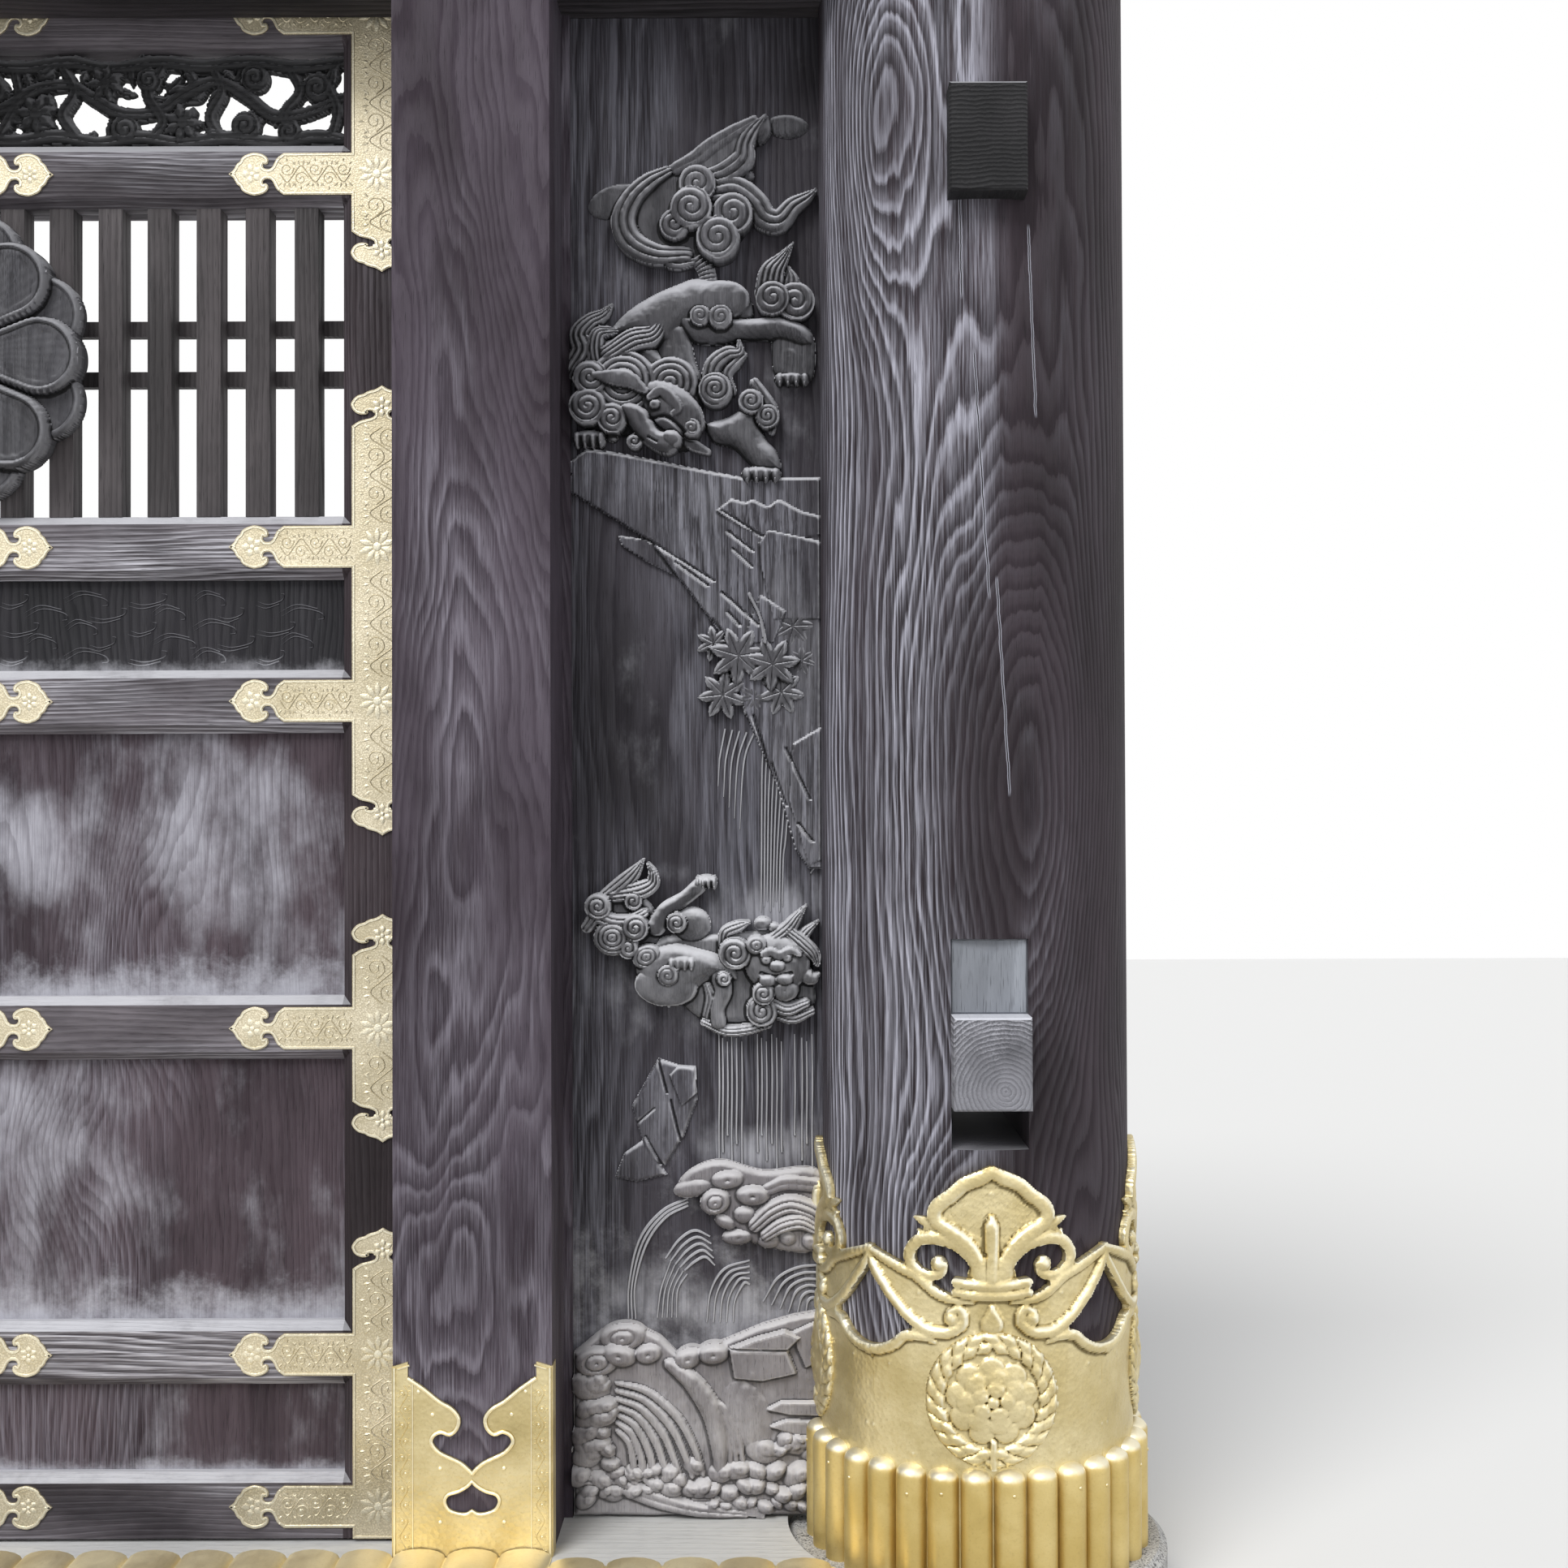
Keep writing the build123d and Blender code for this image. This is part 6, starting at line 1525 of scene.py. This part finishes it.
for index, middle in enumerate(BAYS):
    f = Field(-310, 310, BOARD_LOW, BOARD_HIGH, 2.6)
    hand = 1 if index else -1
    for points in SCROLLS:
        f.stroke([(hand * u, BOARD_LOW + z, w) for u, z, w in points], 16, 6, 2, 3)
    for u, z, size, rise, start in CURLS:
        u0, z0 = hand * u, BOARD_LOW + z
        if size > 26:
            for k in range(7):
                t = 2 * math.pi * k / 7 + start
                f.stroke([(u0 + math.cos(t) * size * far, z0 + math.sin(t) * size * far, size * wide)
                          for far, wide in ((0.2, 0.2), (0.65, 0.34))]
                         + [(u0 + math.cos(t) * size, z0 + math.sin(t) * size, size * 0.2)], 14, 12, 1, 3)
            f.lump(u0, z0, size * 0.3, size * 0.3, 8, 24, rings=1)
        else:
            f.spiral(u0, z0, size, rise, 10, 2.0, 1 if u > 0 else -1, start, 4)
    for k in range(46):
        u, z = rng.uniform(-300, 300), BOARD_LOW + rng.uniform(14, BOARD_HIGH - BOARD_LOW - 14)
        t, size = rng.uniform(0, 6.28), rng.uniform(15, 25)
        c, d = math.cos(t), math.sin(t)
        f.stroke([(u - c * size, z - d * size, 2.5), (u - d * 3, z + c * 3, size * 0.42),
                  (u + c * size, z + d * size, 2)],
                 rng.uniform(11, 18), rng.uniform(3, 9), 2, 3, steps=5)
    f.h = np.clip(f.h, 4, BOARD_BACK - BOARD_FRONT - 5)
    f.roughen(0.5)
    name = "transom_openwork"
    carve("%s_%d" % (name, index + 1), f, flat(middle, BOARD_BACK - 4), open_wood, "leaf", (name,), sink=0.0,
          smooth=46)
    g = Field(-310, 310, BOARD_LOW, BOARD_HIGH, 2.6)
    g.s = f.s[:, ::-1].copy()
    g.h = 2.0 + 2.0 * np.clip(-g.s / 6, 0, 1) + 0.12 * np.clip(f.h[:, ::-1], 0, 20)

    def from_behind(u, z, h, middle=middle):
        return np.stack([(middle - u) / 1000, (BOARD_BACK - 4.5 + np.minimum(h, 4.4)) / 1000, z / 1000], -1)
    carve("transom_back_%d" % (index + 1), g, from_behind, open_wood, "leaf", sink=0.0, smooth=46)

# Fine wave lines on the frieze panels
for index, middle in enumerate(BAYS):
    waves = Stock()
    on_frieze = flat(middle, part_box("frieze_panel_left")[0].y * 1000)
    for k in range(6):
        for j in range(5):
            u, z = -270 + 108 * k + (j % 2) * 40, 1544 + 24 * j
            hand = 1 if (k + j) % 2 else -1
            reach = 44 + 9 * ((k * 3 + j * 5) % 4)
            path = [(u, z - 4, 0.5), (u + reach * 0.4, z + 9 * hand, 1.5), (u + reach * 0.9, z + 2 * hand, 1.7),
                    (u + reach, z - 8 * hand, 1.4), (u + reach * 0.86, z - 10 * hand, 0.8)]
            below = [(a - 4, b + 6 * hand, w) for a, b, w in path[:3]]
            if abs(u + reach) < 296 and z < 1656:
                for line, rise in ((path, 1.4), (below, 1.2)):
                    waves.ridge(line, rise, on_frieze, 0, steps=4, sides=2, relief=0.5)
    waves.make("frieze_waves_%d" % (index + 1), frieze_wood, "leaf", (), "leaf_wood")

# Both boxes, the CAD model's and the one shown
low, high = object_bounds()
{"cad": [list(cad_low), list(cad_high)], "visual": [list(low), list(high)]}
